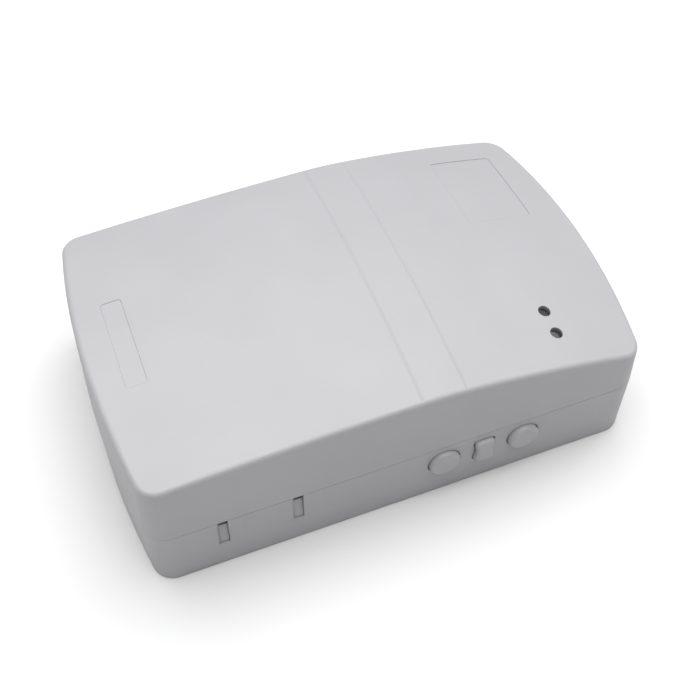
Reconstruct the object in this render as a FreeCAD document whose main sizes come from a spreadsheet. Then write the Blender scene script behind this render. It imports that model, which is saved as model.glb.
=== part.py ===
import FreeCAD, Part
import math
import os
import re
import Sketcher

# Garage door control panel: a two-part moulded case, its three front push-buttons,
# the circuit board with its parts, and the fasteners that hold it all together.
# Millimetres, +Z up. The origin is the middle of the underside of the case.
# X runs along the case, and the buttons are in the front wall, which faces -Y.

doc = FreeCAD.newDocument("garage_door_control_panel")
sheet = doc.addObject("Spreadsheet::Sheet", "sizes")

SIZES = {
    # Case, seen from above
    "case_length": 159.4,
    "case_width": 98.8,
    "end_radius": 262.0,
    "corner_radius": 7.0,
    # Case, seen from the front
    "base_height": 23.4,
    "crest_height": 52.8,
    "crest_x": 3.0,
    "crown_left_radius": 1280.0,
    "crown_bend_radius": 135.0,
    "crown_right_radius": 365.0,
    "crown_across_radius": 274.0,
    "band_left_x": 5.0,
    "band_right_x": 18.4,
    "band_groove_width": 1.0,
    "band_groove_depth": 0.18,
    "band_groove_mouth": 1.0,
    "base_draft": 0.86,
    "lid_draft": 1.55,
    # Case walls and edges
    "wall": 2.2,
    "floor_thickness": 2.5,
    "lid_skin": 1.8,
    "top_round": 1.6,
    "bottom_round": 0.5,
    "lap_height": 2.0,
    "lap_thickness": 1.0,
    "lap_gap": 0.2,
    "parting_gap": 0.1,
    # Sunken label places on the lid
    "label_depth": 0.15,
    "label_corner": 1.0,
    "end_label_width": 6.1,
    "end_label_length": 31.4,
    "end_label_from_end": 13.2,
    "end_label_from_front": 49.3,
    "square_label_width": 21.3,
    "square_label_length": 30.8,
    "square_label_from_end": 23.9,
    "square_label_from_back": 26.3,
    # Slots in the front wall, and the lid's tongues that stand in them
    "slot_width": 2.7,
    "slot_height": 12.2,
    "slot_bevel": 0.7,
    "slots_from_end": 36.25,
    "slot_spacing": 22.3,
    "tongue_recess": 0.7,
    "tongue_lean": 3.4,
    "tongue_thickness": 2.6,
    "tongue_rise": 5.0,
    "tongue_gap": 0.06,
    "tongue_end_gap": 0.2,
    "tongue_notch_height": 3.4,
    "tongue_notch_depth": 1.5,
    # Push-buttons
    "button_height": 15.8,
    "buttons_from_end": 54.25,
    "button_pitch": 12.75,
    "button_hole": 10.3,
    "button_gap": 0.25,
    "button_proud": 1.8,
    "button_edge": 1.2,
    "button_travel": 0.5,
    "stop_waist": 5.9,
    "stop_hole_height": 9.7,
    "stop_side_radius": 11.5,
    "stop_corner": 1.3,
    "flange_overlap": 0.8,
    "flange_thickness": 1.0,
    "flange_gap": 0.3,
    "stem_diameter": 4.0,
    # Right-angle key switches
    "switch_axis_height": 4.1,
    "switch_width": 6.2,
    "switch_depth": 4.2,
    "switch_from_edge": 0.3,
    "plunger_diameter": 3.4,
    "plunger_proud": 1.1,
    "plunger_gap": 0.3,
    "plunger_sunk": 1.4,
    "bracket_thickness": 0.3,
    "bracket_tab": 3.0,
    # Circuit board
    "board_thickness": 1.6,
    "board_front_gap": 3.0,
    "board_back_gap": 21.0,
    "board_end_gap": 16.0,
    "board_hole_inset": 4.0,
    "board_hole": 3.4,
    "board_corner": 3.2,
    "standoff_diameter": 7.0,
    # Board screws
    "board_screw_diameter": 2.6,
    "board_screw_length": 6.0,
    "board_screw_head": 5.4,
    "board_screw_head_height": 1.9,
    "board_screw_pilot_gap": 0.3,
    # Lid screws and the pillars that they pass through
    "pillar_overlap": 0.4,
    "lid_screw_diameter": 3.0,
    "lid_screw_gap": 0.3,
    "lid_screw_length": 18.0,
    "lid_screw_head": 6.0,
    "lid_screw_head_height": 2.3,
    "lid_screw_head_gap": 0.4,
    "lid_screw_seat": 13.0,
    "recess_width": 0.9,
    "recess_length": 3.2,
    "recess_depth": 1.2,
    "screw_head_bevel": 0.8,
    "screw_head_side": 0.55,
    "screw_tip_bevel": 0.5,
    "screw_tip_length": 1.0,
    # Wall fixing holes in the floor
    "fixing_hole": 4.5,
    "fixing_from_end": 10.7,
    "fixing_spacing": 40.0,
    # Cable entries in the back wall
    "entry_height": 12.0,
    "entry_spacing": 30.0,
    "entry_middle_x": -14.0,
    "entry_hole": 13.0,
    "grommet_gap": 0.25,
    "grommet_lip": 2.0,
    "grommet_lip_thickness": 1.6,
    "grommet_bore": 7.0,
    "grommet_lip_bevel": 0.6,
    # Status lights and the pipes that carry their light to the lid
    "light_from_end": 28.1,
    "light_from_front": 15.95,
    "light_spacing": 7.75,
    "light_hole": 3.7,
    "light_pipe_gap": 0.1,
    "light_pipe_sunk": 1.2,
    "light_tube": 6.2,
    "light_tube_drop": 18.0,
    "light_gap": 0.3,
    "led_diameter": 3.0,
    "led_rim": 3.8,
    "led_rim_height": 1.0,
    "led_height": 5.3,
    "led_dome_round": 1.4,
    # Mains transformer
    "transformer_from_left": 4.5,
    "transformer_from_front": 7.0,
    "core_length": 35.0,
    "core_height": 29.2,
    "core_stack": 14.0,
    "core_leg": 5.9,
    "core_middle_leg": 11.8,
    "coil_clearance": 0.4,
    "bobbin_wall": 0.9,
    "bobbin_overhang": 7.5,
    "coil_inset": 0.8,
    # Relays
    "relay_length": 19.0,
    "relay_width": 15.4,
    "relay_height": 15.6,
    "relay_edge": 0.8,
    "relay_gap": 1.4,
    "relay_from_terminals": 6.7,
    # Screw terminals
    "terminal_from_edge": 1.0,
    "terminal_depth": 11.0,
    "terminal_height": 12.6,
    "terminal_bevel": 2.0,
    "terminal_bevel_height": 3.5,
    "terminal_end": 0.5,
    "terminal_rib": 1.0,
    "terminal_mouth_height": 5.0,
    "terminal_mouth_sill": 1.6,
    "terminal_well_depth": 4.0,
    "terminal_screw_gap": 0.25,
    "terminal_screw_height": 2.4,
    "terminal_slot_width": 0.7,
    "terminal_slot_depth": 0.8,
    "mains_terminal_from_left": 7.6,
    "mains_terminal_pitch": 7.6,
    "terminal_gap": 5.6,
    "motor_terminal_pitch": 5.0,
    "sensor_terminal_pitch": 4.4,
    # Fuse and the surge suppressor beside it
    "fuse_from_terminals": 3.0,
    "fuse_diameter": 5.0,
    "fuse_length": 20.0,
    "fuse_cap_length": 4.6,
    "fuse_glass_diameter": 4.6,
    "fuse_glass_wall": 0.7,
    "fuse_axis_height": 6.0,
    "fuse_holder_lip": 1.0,
    "fuse_holder_wall": 1.2,
    "fuse_holder_gap": 0.15,
    "suppressor_diameter": 11.0,
    "suppressor_thickness": 4.4,
    "suppressor_lift": 2.0,
    "suppressor_gap": 3.0,
    "suppressor_lead": 0.8,
    "suppressor_lead_spacing": 5.0,
    # Power parts, set out from the middle of the board's front half
    "rectifier_length": 19.0,
    "rectifier_thickness": 3.6,
    "rectifier_height": 10.4,
    "rectifier_x": -5.0,
    "rectifier_from_front": 5.0,
    "reservoir_diameter": 10.0,
    "reservoir_height": 20.0,
    "reservoir_edge": 0.8,
    "reservoir_x": -6.0,
    "power_row_from_front": 16.4,
    "bypass_diameter": 6.3,
    "bypass_height": 11.0,
    "bypass_edge": 0.5,
    "bypass_x": 4.0,
    "bypass_pitch": 8.6,
    "regulator_x": 24.0,
    "regulator_length": 10.2,
    "regulator_thickness": 3.2,
    "regulator_height": 9.2,
    "regulator_lift": 3.0,
    "regulator_tab_height": 15.8,
    "regulator_tab_thickness": 1.3,
    "regulator_tab_hole": 3.8,
    "regulator_tab_hole_drop": 2.9,
    "regulator_leg_pitch": 2.54,
    "regulator_leg_width": 0.9,
    # Control parts
    "chip_from_right": 7.2,
    "chip_from_front": 23.9,
    "chip_length": 25.6,
    "chip_width": 6.6,
    "chip_height": 3.4,
    "chip_lift": 0.6,
    "chip_notch": 2.2,
    "chip_notch_depth": 0.85,
    "chip_leg_pitch": 2.54,
    "chip_leg_width": 1.2,
    "chip_leg_thickness": 0.3,
    "crystal_length": 11.4,
    "crystal_width": 4.7,
    "crystal_height": 3.6,
    "crystal_round": 2.1,
    "crystal_gap": 3.0,
    "radio_from_right": 4.5,
    "radio_from_terminals": 5.0,
    "radio_length": 30.0,
    "radio_height": 14.0,
    "radio_thickness": 1.2,
    "radio_can_length": 12.0,
    "radio_can_height": 8.0,
    "radio_can_thickness": 2.6,
    "radio_can_lift": 3.0,
    "aerial_diameter": 1.0,
    "aerial_length": 44.0,
    "aerial_height": 12.0,
}

# The sheet that drives the model: a name, its size and the same word as its alias
for row, (alias, size) in enumerate(SIZES.items(), start=1):
    sheet.set(f"A{row}", alias)
    sheet.set(f"B{row}", str(size))
    sheet.setAlias(f"B{row}", alias)
doc.recompute()

WORD = re.compile(r"[A-Za-z_][A-Za-z_0-9]*")


def formula(text):
    """Write the sheet's name before each alias in an expression."""
    def in_sheet(word):
        return f"sizes.{word.group()}" if word.group() in SIZES else word.group()

    return WORD.sub(in_sheet, str(text))


def number(text):
    """Work an expression out as a plain number."""
    result = sheet.evalExpression(formula(text))
    return float(getattr(result, "Value", result))


def bind(target, prop, text):
    """Drive one property of an object by an expression on the sheet."""
    target.setExpression(prop, formula(text))


# Places worked out from the sizes above
LID_HEIGHT = "(crest_height - base_height + top_round)"
WALL_AT_BUTTON = "(case_width / 2 - tan(base_draft) * (base_height - button_height))"
WALL_AT_ENTRY = "(case_width / 2 - tan(base_draft) * (base_height - entry_height))"
BOARD_TOP = "(button_height - switch_axis_height)"
BOARD_UNDERSIDE = "(button_height - switch_axis_height - board_thickness)"
BOARD_FRONT = "(case_width / 2 - wall - board_front_gap)"
BOARD_BACK = "(case_width / 2 - wall - board_back_gap)"
BOARD_LENGTH = "(case_length - 2 * (wall + board_end_gap))"
BOARD_HOLE_X = "(case_length / 2 - wall - board_end_gap - board_hole_inset)"
BOARD_HOLE_FRONT = "(case_width / 2 - wall - board_front_gap - board_hole_inset)"
BOARD_HOLE_BACK = "(case_width / 2 - wall - board_back_gap - board_hole_inset)"
PILLAR_DIAMETER = "(2 * (corner_radius - wall + pillar_overlap))"
PILLAR_Y = "(case_width / 2 - corner_radius)"
PILLAR_X = f"(sqrt((end_radius - corner_radius)^2 - {PILLAR_Y}^2) - end_radius + case_length / 2)"
FIXING_X = "(case_length / 2 - fixing_from_end)"
LIGHT_X = "(case_length / 2 - light_from_end)"
LIGHT_Y = "(light_from_front - case_width / 2)"
LIGHT_BORE = "(light_hole - 2 * light_pipe_gap)"
SLOTS_X = "(slots_from_end - case_length / 2)"
BUTTONS_X = "(case_length / 2 - buttons_from_end)"
TERMINALS_FRONT = f"({BOARD_BACK} - terminal_from_edge - terminal_depth)"
MAINS_LENGTH = "(3 * mains_terminal_pitch + 2 * terminal_end)"
MOTOR_LENGTH = "(4 * motor_terminal_pitch + 2 * terminal_end)"
SENSOR_LENGTH = "(8 * sensor_terminal_pitch + 2 * terminal_end)"
MAINS_X = f"(mains_terminal_from_left + {MAINS_LENGTH} / 2 - {BOARD_LENGTH} / 2)"
TRANSFORMER_X = f"(transformer_from_left + core_length / 2 - {BOARD_LENGTH} / 2)"
RADIO_X = f"({BOARD_LENGTH} / 2 - radio_from_right - radio_length / 2)"
RADIO_Y = f"({TERMINALS_FRONT} - radio_from_terminals - radio_thickness / 2)"
POWER_ROW_Y = f"(power_row_from_front - {BOARD_FRONT})"
CHIP_X = f"({BOARD_LENGTH} / 2 - chip_from_right - chip_length / 2)"
CHIP_Y = f"(chip_from_front + chip_width / 2 - {BOARD_FRONT})"
SIDES = (-1, 1)
CORNERS = [(across, along) for across in SIDES for along in SIDES]
BUTTONS = {"up": -1, "stop": 0, "down": 1}
RELAYS = {"open": -1, "close": 1}
CABLES = {"mains": -1, "motor": 0, "sensor": 1}

CHIP_LEGS_A_SIDE = 10

# How far a cutting shape runs past what it cuts, and the least difference between two places
PAST = 4.0
CLEAR = 1.0
TINY = 1e-4
PAST_END = f"(case_length / 2 + {PAST})"
THROUGH_WALL = f"(wall + {CLEAR} + tongue_recess)"


# Sketches and features


def new_body(label):
    body = doc.addObject("PartDesign::Body", label)
    body.Label = label
    return body


def place(piece, right="0", back="0", up="0"):
    """Put a piece where its own zero belongs in the case."""
    bind(piece, "Placement.Base.x", right)
    bind(piece, "Placement.Base.y", back)
    bind(piece, "Placement.Base.z", up)


def new_sketch(body, name, plane="XY_Plane", right="0", up="0", out="0"):
    """Sketch on one of the body's own planes, with its zero moved along and out of the plane."""
    sketch = body.newObject("Sketcher::SketchObject", name)
    support = next(part for part in body.Origin.OriginFeatures if part.Role == plane)
    sketch.AttachmentSupport = [(support, "")]
    sketch.MapMode = "FlatFace"
    bind(sketch, "AttachmentOffset.Base.x", right)
    bind(sketch, "AttachmentOffset.Base.y", up)
    bind(sketch, "AttachmentOffset.Base.z", out)
    return sketch


def drive(sketch, constraint, text):
    """Add a sketch constraint whose value is an expression on the sheet."""
    index = sketch.addConstraint(constraint)
    bind(sketch, f"Constraints[{index}]", text)


def locate(sketch, shape, point, right, up):
    """Fix one point of a sketch at a distance right of and above the sketch's zero."""
    for kind, text in (("DistanceX", right), ("DistanceY", up)):
        distance = number(text)
        if distance < 0:
            drive(sketch, Sketcher.Constraint(kind, shape, point, -1, 1, -distance), f"-({text})")
        else:
            drive(sketch, Sketcher.Constraint(kind, -1, 1, shape, point, distance), text)


def add_polygon(sketch, corners):
    """Closed outline of straight lines through corners given as pairs of expressions."""
    spots = [FreeCAD.Vector(number(right), number(up), 0) for right, up in corners]
    first = sketch.GeometryCount
    count = len(corners)
    for index in range(count):
        sketch.addGeometry(Part.LineSegment(spots[index], spots[(index + 1) % count]), False)
    for index, (right, up) in enumerate(corners):
        following = first + (index + 1) % count
        sketch.addConstraint(Sketcher.Constraint("Coincident", first + index, 2, following, 1))
        locate(sketch, first + index, 1, right, up)


def add_rectangle(sketch, across, tall, right="0", up="0"):
    """Rectangle by its size and the place of its middle."""
    low_x, high_x = f"({right}) - ({across}) / 2", f"({right}) + ({across}) / 2"
    low_y, high_y = f"({up}) - ({tall}) / 2", f"({up}) + ({tall}) / 2"
    add_polygon(sketch, [(low_x, low_y), (high_x, low_y), (high_x, high_y), (low_x, high_y)])


def add_circle(sketch, diameter, right="0", up="0"):
    centre = FreeCAD.Vector(number(right), number(up), 0)
    size = number(diameter)
    shape = sketch.addGeometry(Part.Circle(centre, FreeCAD.Vector(0, 0, 1), size / 2), False)
    drive(sketch, Sketcher.Constraint("Diameter", shape, size), diameter)
    locate(sketch, shape, 3, right, up)


def add_bowed_panel(sketch, half_depth, corner, side_radius, side_centre, hollow):
    """Closed outline with straight front and back, arcs for its sides, and round corners.

    The sides bow outwards, or inwards where hollow is true. side_centre is the
    distance of each side arc's centre from the middle of the outline.
    """
    depth, round_size = number(half_depth), number(corner)
    radius, centre = number(side_radius), number(side_centre)
    reach = radius + round_size if hollow else radius - round_size
    run = math.sqrt(reach ** 2 - (depth - round_size) ** 2)
    turn = math.atan2(depth - round_size, run)
    corner_x = centre - run if hollow else run - centre
    corner_y = depth - round_size
    edge = turn if hollow else -turn
    side_x = centre if hollow else -centre
    facing = math.pi if hollow else 0.0
    quarter = math.pi / 2

    def arc(x, y, size, start, end):
        circle = Part.Circle(FreeCAD.Vector(x, y, 0), FreeCAD.Vector(0, 0, 1), size)
        return Part.ArcOfCircle(circle, start, end)

    def line(x0, y0, x1, y1):
        return Part.LineSegment(FreeCAD.Vector(x0, y0, 0), FreeCAD.Vector(x1, y1, 0))

    first = sketch.GeometryCount
    shapes = [
        line(-corner_x, -depth, corner_x, -depth),
        arc(corner_x, -corner_y, round_size, -quarter, edge),
        arc(side_x, 0, radius, facing - turn, facing + turn),
        arc(corner_x, corner_y, round_size, -edge, quarter),
        line(corner_x, depth, -corner_x, depth),
        arc(-corner_x, corner_y, round_size, quarter, math.pi + edge),
        arc(-side_x, 0, radius, facing + math.pi - turn, facing + math.pi + turn),
        arc(-corner_x, -corner_y, round_size, math.pi - edge, 3 * quarter),
    ]
    for shape in shapes:
        sketch.addGeometry(shape, False)
    front, right_side, back, left_side = first, first + 2, first + 4, first + 6
    side_start, side_end = (2, 1) if hollow else (1, 2)
    joints = [
        (front, 2, first + 1, 1),
        (first + 1, 2, right_side, side_start),
        (right_side, side_end, first + 3, 1),
        (first + 3, 2, back, 1),
        (back, 2, first + 5, 1),
        (first + 5, 2, left_side, side_start),
        (left_side, side_end, first + 7, 1),
        (first + 7, 2, front, 1),
    ]
    for joint in joints:
        sketch.addConstraint(Sketcher.Constraint("Tangent", *joint))
    for level, before, after in ((front, (front, 1), (-1, 1)), (back, (-1, 1), (back, 1))):
        sketch.addConstraint(Sketcher.Constraint("Horizontal", level))
        drive(sketch, Sketcher.Constraint("DistanceY", *before, *after, depth), half_depth)
    for side, to_left in ((right_side, not hollow), (left_side, hollow)):
        sketch.addConstraint(Sketcher.Constraint("PointOnObject", side, 3, -1))
        ends = (side, 3, -1, 1) if to_left else (-1, 1, side, 3)
        drive(sketch, Sketcher.Constraint("DistanceX", *ends, centre), side_centre)
        drive(sketch, Sketcher.Constraint("Radius", side, radius), side_radius)
    for rounded in (first + 1, first + 3, first + 5, first + 7):
        drive(sketch, Sketcher.Constraint("Radius", rounded, round_size), corner)


def add_outline(sketch, inset="0"):
    """The case's outline seen from above, moved inwards by inset."""
    add_bowed_panel(
        sketch,
        f"case_width / 2 - ({inset})",
        f"corner_radius - ({inset})",
        f"end_radius - ({inset})",
        "end_radius - case_length / 2",
        hollow=False,
    )


def add_stop_shape(sketch, inset="0"):
    """The middle button's outline: flat top and bottom, sides hollowed towards its neighbours."""
    add_bowed_panel(
        sketch,
        f"stop_hole_height / 2 - ({inset})",
        "stop_corner",
        f"stop_side_radius + ({inset})",
        "stop_waist / 2 + stop_side_radius",
        hollow=True,
    )


def pad(body, name, sketch, length, taper=None, backwards=False):
    feature = body.newObject("PartDesign::Pad", name)
    feature.Profile = sketch
    feature.Reversed = backwards
    bind(feature, "Length", length)
    if taper:
        bind(feature, "TaperAngle", taper)
    doc.recompute()
    return feature


def pocket(body, name, sketch, length, forwards=False, taper=None):
    """Cut into the body against the sketch's facing, or along it where forwards is true."""
    before = body.Shape.Volume
    feature = body.newObject("PartDesign::Pocket", name)
    feature.Profile = sketch
    feature.Reversed = forwards
    bind(feature, "Length", length)
    if taper:
        bind(feature, "TaperAngle", taper)
    doc.recompute()
    if body.Shape.Volume > before - TINY:
        raise ValueError(f"{body.Label}: {name} cut nothing")
    return feature


def revolve(body, name, sketch, axis):
    feature = body.newObject("PartDesign::Revolution", name)
    feature.Profile = sketch
    feature.ReferenceAxis = (sketch, [axis])
    feature.Angle = 360
    doc.recompute()
    return feature


def edge_feature(body, name, kind, test):
    """Start a fillet or chamfer on the edges of the body's last feature that pass a test."""
    last = body.Tip
    names = [f"Edge{index}" for index, edge in enumerate(last.Shape.Edges, start=1) if test(edge)]
    feature = body.newObject(f"PartDesign::{kind}", name)
    feature.Base = (last, names)
    return feature


def round_edges(body, name, radius, test):
    bind(edge_feature(body, name, "Fillet", test), "Radius", radius)
    doc.recompute()


def bevel_edges(body, name, size, test):
    bind(edge_feature(body, name, "Chamfer", test), "Size", size)
    doc.recompute()


def cut_by(body, name, tools):
    """Take other bodies away from this one."""
    before = body.Shape.Volume
    feature = body.newObject("PartDesign::Boolean", name)
    feature.setObjects(tools)
    feature.Type = "Cut"
    doc.recompute()
    if body.Shape.Volume > before - TINY:
        raise ValueError(f"{body.Label}: {name} cut nothing")
    return feature


def is_upright(edge):
    """A straight edge that runs up and down."""
    start, end = edge.Vertexes[0].Point, edge.Vertexes[-1].Point
    return math.hypot(end.x - start.x, end.y - start.y) < TINY < abs(end.z - start.z)


def is_level_with(height):
    """A test for edges that lie at a height above the body's own zero."""
    level = number(height)
    return lambda edge: all(abs(point.Z - level) < TINY for point in edge.Vertexes)


# The lid's crown: three tangent arcs along the case, turned about a far axis across it


def crown_sketch(body, name):
    """Sketch on the middle plane with its zero on the axis that the crown turns about."""
    return new_sketch(body, name, "XZ_Plane", up="crest_height - crown_across_radius")


def add_crown_line(sketch, drop, construction=False):
    """The crown's line from end to end, lowered by drop. Returns its left, bend and right arcs."""
    reach = number(PAST_END)
    left_r, bend_r = number("crown_left_radius"), number("crown_bend_radius")
    right_r, crest_x = number("crown_right_radius"), number("crest_x")
    band_left, band_right = number("band_left_x"), number("band_right_x")
    left_y = number(f"crown_across_radius - ({drop}) - crown_left_radius")
    left_turn = math.asin((band_left - crest_x) / left_r)
    bend_x = crest_x + (left_r - bend_r) * math.sin(left_turn)
    bend_y = left_y + (left_r - bend_r) * math.cos(left_turn)
    bend_turn = math.asin((band_right - bend_x) / bend_r)
    right_x = bend_x + (bend_r - right_r) * math.sin(bend_turn)
    right_y = bend_y + (bend_r - right_r) * math.cos(bend_turn)
    quarter = math.pi / 2

    def arc(x, y, size, left, right):
        circle = Part.Circle(FreeCAD.Vector(x, y, 0), FreeCAD.Vector(0, 0, 1), size)
        return sketch.addGeometry(Part.ArcOfCircle(circle, quarter - right, quarter - left), construction)

    left_arc = arc(crest_x, left_y, left_r, -math.asin((reach + crest_x) / left_r), left_turn)
    bend_arc = arc(bend_x, bend_y, bend_r, left_turn, bend_turn)
    right_arc = arc(right_x, right_y, right_r, bend_turn, math.asin((reach - right_x) / right_r))
    sketch.addConstraint(Sketcher.Constraint("Tangent", left_arc, 1, bend_arc, 2))
    sketch.addConstraint(Sketcher.Constraint("Tangent", bend_arc, 1, right_arc, 2))
    drive(sketch, Sketcher.Constraint("Radius", left_arc, left_r), "crown_left_radius")
    drive(sketch, Sketcher.Constraint("Radius", bend_arc, bend_r), "crown_bend_radius")
    drive(sketch, Sketcher.Constraint("Radius", right_arc, right_r), "crown_right_radius")
    locate(sketch, left_arc, 3, "crest_x", f"crown_across_radius - ({drop}) - crown_left_radius")
    drive(sketch, Sketcher.Constraint("DistanceX", -1, 1, bend_arc, 2, band_left), "band_left_x")
    drive(sketch, Sketcher.Constraint("DistanceX", -1, 1, bend_arc, 1, band_right), "band_right_x")
    drive(sketch, Sketcher.Constraint("DistanceX", left_arc, 2, -1, 1, reach), PAST_END)
    drive(sketch, Sketcher.Constraint("DistanceX", -1, 1, right_arc, 1, reach), PAST_END)
    return left_arc, bend_arc, right_arc


def turn_about_crown(body, name, sketch):
    """Cut a sketch's shape away along the crown's arc across the case."""
    before = body.Shape.Volume
    feature = body.newObject("PartDesign::Groove", name)
    feature.Profile = sketch
    feature.ReferenceAxis = (sketch, ["H_Axis"])
    feature.Midplane = True
    bind(feature, "Angle", f"2 * asin((case_width / 2 + {PAST}) / crown_across_radius)")
    doc.recompute()
    if body.Shape.Volume > before - TINY:
        raise ValueError(f"{body.Label}: {name} cut nothing")
    return feature


def trim_to_crown(body, name, drop="0", below=False):
    """Cut off what stands above the crown, or what lies below it."""
    sketch = crown_sketch(body, name + "_sketch")
    left_arc, _, right_arc = add_crown_line(sketch, drop)
    far = "crown_across_radius - crest_height" if below else "crown_across_radius + case_width / 4"
    reach, level = number(PAST_END), number(far)
    left_top = sketch.getPoint(left_arc, 2)
    right_top = sketch.getPoint(right_arc, 1)
    far_left, far_right = FreeCAD.Vector(-reach, level, 0), FreeCAD.Vector(reach, level, 0)
    left_line = sketch.addGeometry(Part.LineSegment(left_top, far_left), False)
    far_line = sketch.addGeometry(Part.LineSegment(far_left, far_right), False)
    right_line = sketch.addGeometry(Part.LineSegment(far_right, right_top), False)
    sketch.addConstraint(Sketcher.Constraint("Coincident", left_arc, 2, left_line, 1))
    sketch.addConstraint(Sketcher.Constraint("Coincident", left_line, 2, far_line, 1))
    sketch.addConstraint(Sketcher.Constraint("Coincident", far_line, 2, right_line, 1))
    sketch.addConstraint(Sketcher.Constraint("Coincident", right_line, 2, right_arc, 1))
    sketch.addConstraint(Sketcher.Constraint("Vertical", left_line))
    sketch.addConstraint(Sketcher.Constraint("Horizontal", far_line))
    sketch.addConstraint(Sketcher.Constraint("Vertical", right_line))
    drive(sketch, Sketcher.Constraint("DistanceY", -1, 1, far_line, 1, level), far)
    return turn_about_crown(body, name, sketch)


def rim_edges(shape):
    """The edges where the crown meets the sides of the lid."""
    crown_faces = [face for face in shape.Faces if face.normalAt(*mid_parameters(face)).z > 0.9]
    edges = [edge for face in crown_faces for edge in face.Edges]
    return [edge for edge in edges if sum(edge.isSame(other) for other in edges) == 1]


def mid_parameters(face):
    low_u, high_u, low_v, high_v = face.ParameterRange
    return (low_u + high_u) / 2, (low_v + high_v) / 2


# Lid


def make_lid_core():
    """The space inside the lid, with the screw bosses and light tubes left out of it."""
    core = new_body("lid_core")
    outline = new_sketch(core, "lid_core_outline", out="base_height")
    add_outline(outline, "wall")
    pad(core, "lid_core_pad", outline, LID_HEIGHT, "-lid_draft")
    trim_to_crown(core, "lid_core_crown", "lid_skin")
    bosses = new_sketch(core, "lid_core_bosses", out="base_height")
    for across, along in CORNERS:
        add_circle(bosses, PILLAR_DIAMETER, f"{across} * {PILLAR_X}", f"{along} * {PILLAR_Y}")
    pocket(core, "lid_core_boss_cut", bosses, LID_HEIGHT, forwards=True)
    tubes = new_sketch(core, "lid_core_tubes", out="crest_height - light_tube_drop")
    for side in SIDES:
        add_circle(tubes, "light_tube", LIGHT_X, f"{LIGHT_Y} + {side} * light_spacing / 2")
    pocket(core, "lid_core_tube_cut", tubes, LID_HEIGHT, forwards=True)
    return core


def make_label_place(name, width, length, right, back):
    """The shallow space of a sunken label place, which follows the crown."""
    space = new_body(name)
    sketch = new_sketch(space, name + "_outline", right=right, up=back, out="base_height")
    add_rectangle(sketch, width, length)
    pad(space, name + "_pad", sketch, LID_HEIGHT)
    round_edges(space, name + "_corners", "label_corner", is_upright)
    trim_to_crown(space, name + "_floor", "label_depth", below=True)
    return space


def add_band_grooves(lid):
    """Two fine V grooves across the lid, one on each side of the bend in the crown."""
    sketch = crown_sketch(lid, "band_grooves")
    _, bend_arc, _ = add_crown_line(sketch, "0", construction=True)
    depth, rise = number("band_groove_depth"), number("band_groove_mouth")
    spread = "band_groove_width / 2 * (band_groove_depth + band_groove_mouth) / band_groove_depth"
    half = number(spread)
    for point in (1, 2):
        surface = sketch.getPoint(bend_arc, point)
        root = surface + FreeCAD.Vector(0, -depth, 0)
        left, right = surface + FreeCAD.Vector(-half, rise, 0), surface + FreeCAD.Vector(half, rise, 0)
        lines = [
            sketch.addGeometry(Part.LineSegment(*ends), False)
            for ends in ((root, right), (right, left), (left, root))
        ]
        for line, following in zip(lines, lines[1:] + lines[:1]):
            sketch.addConstraint(Sketcher.Constraint("Coincident", line, 2, following, 1))
        sketch.addConstraint(Sketcher.Constraint("Vertical", lines[0], 1, bend_arc, point))
        sketch.addConstraint(Sketcher.Constraint("Horizontal", lines[1]))
        deep = Sketcher.Constraint("DistanceY", lines[0], 1, bend_arc, point, depth)
        drive(sketch, deep, "band_groove_depth")
        mouth = Sketcher.Constraint("DistanceY", bend_arc, point, lines[1], 1, rise)
        drive(sketch, mouth, "band_groove_mouth")
        drive(sketch, Sketcher.Constraint("DistanceX", bend_arc, point, lines[1], 1, half), spread)
        drive(sketch, Sketcher.Constraint("DistanceX", lines[1], 2, bend_arc, point, half), spread)
    turn_about_crown(lid, "band_groove_cut", sketch)


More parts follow.
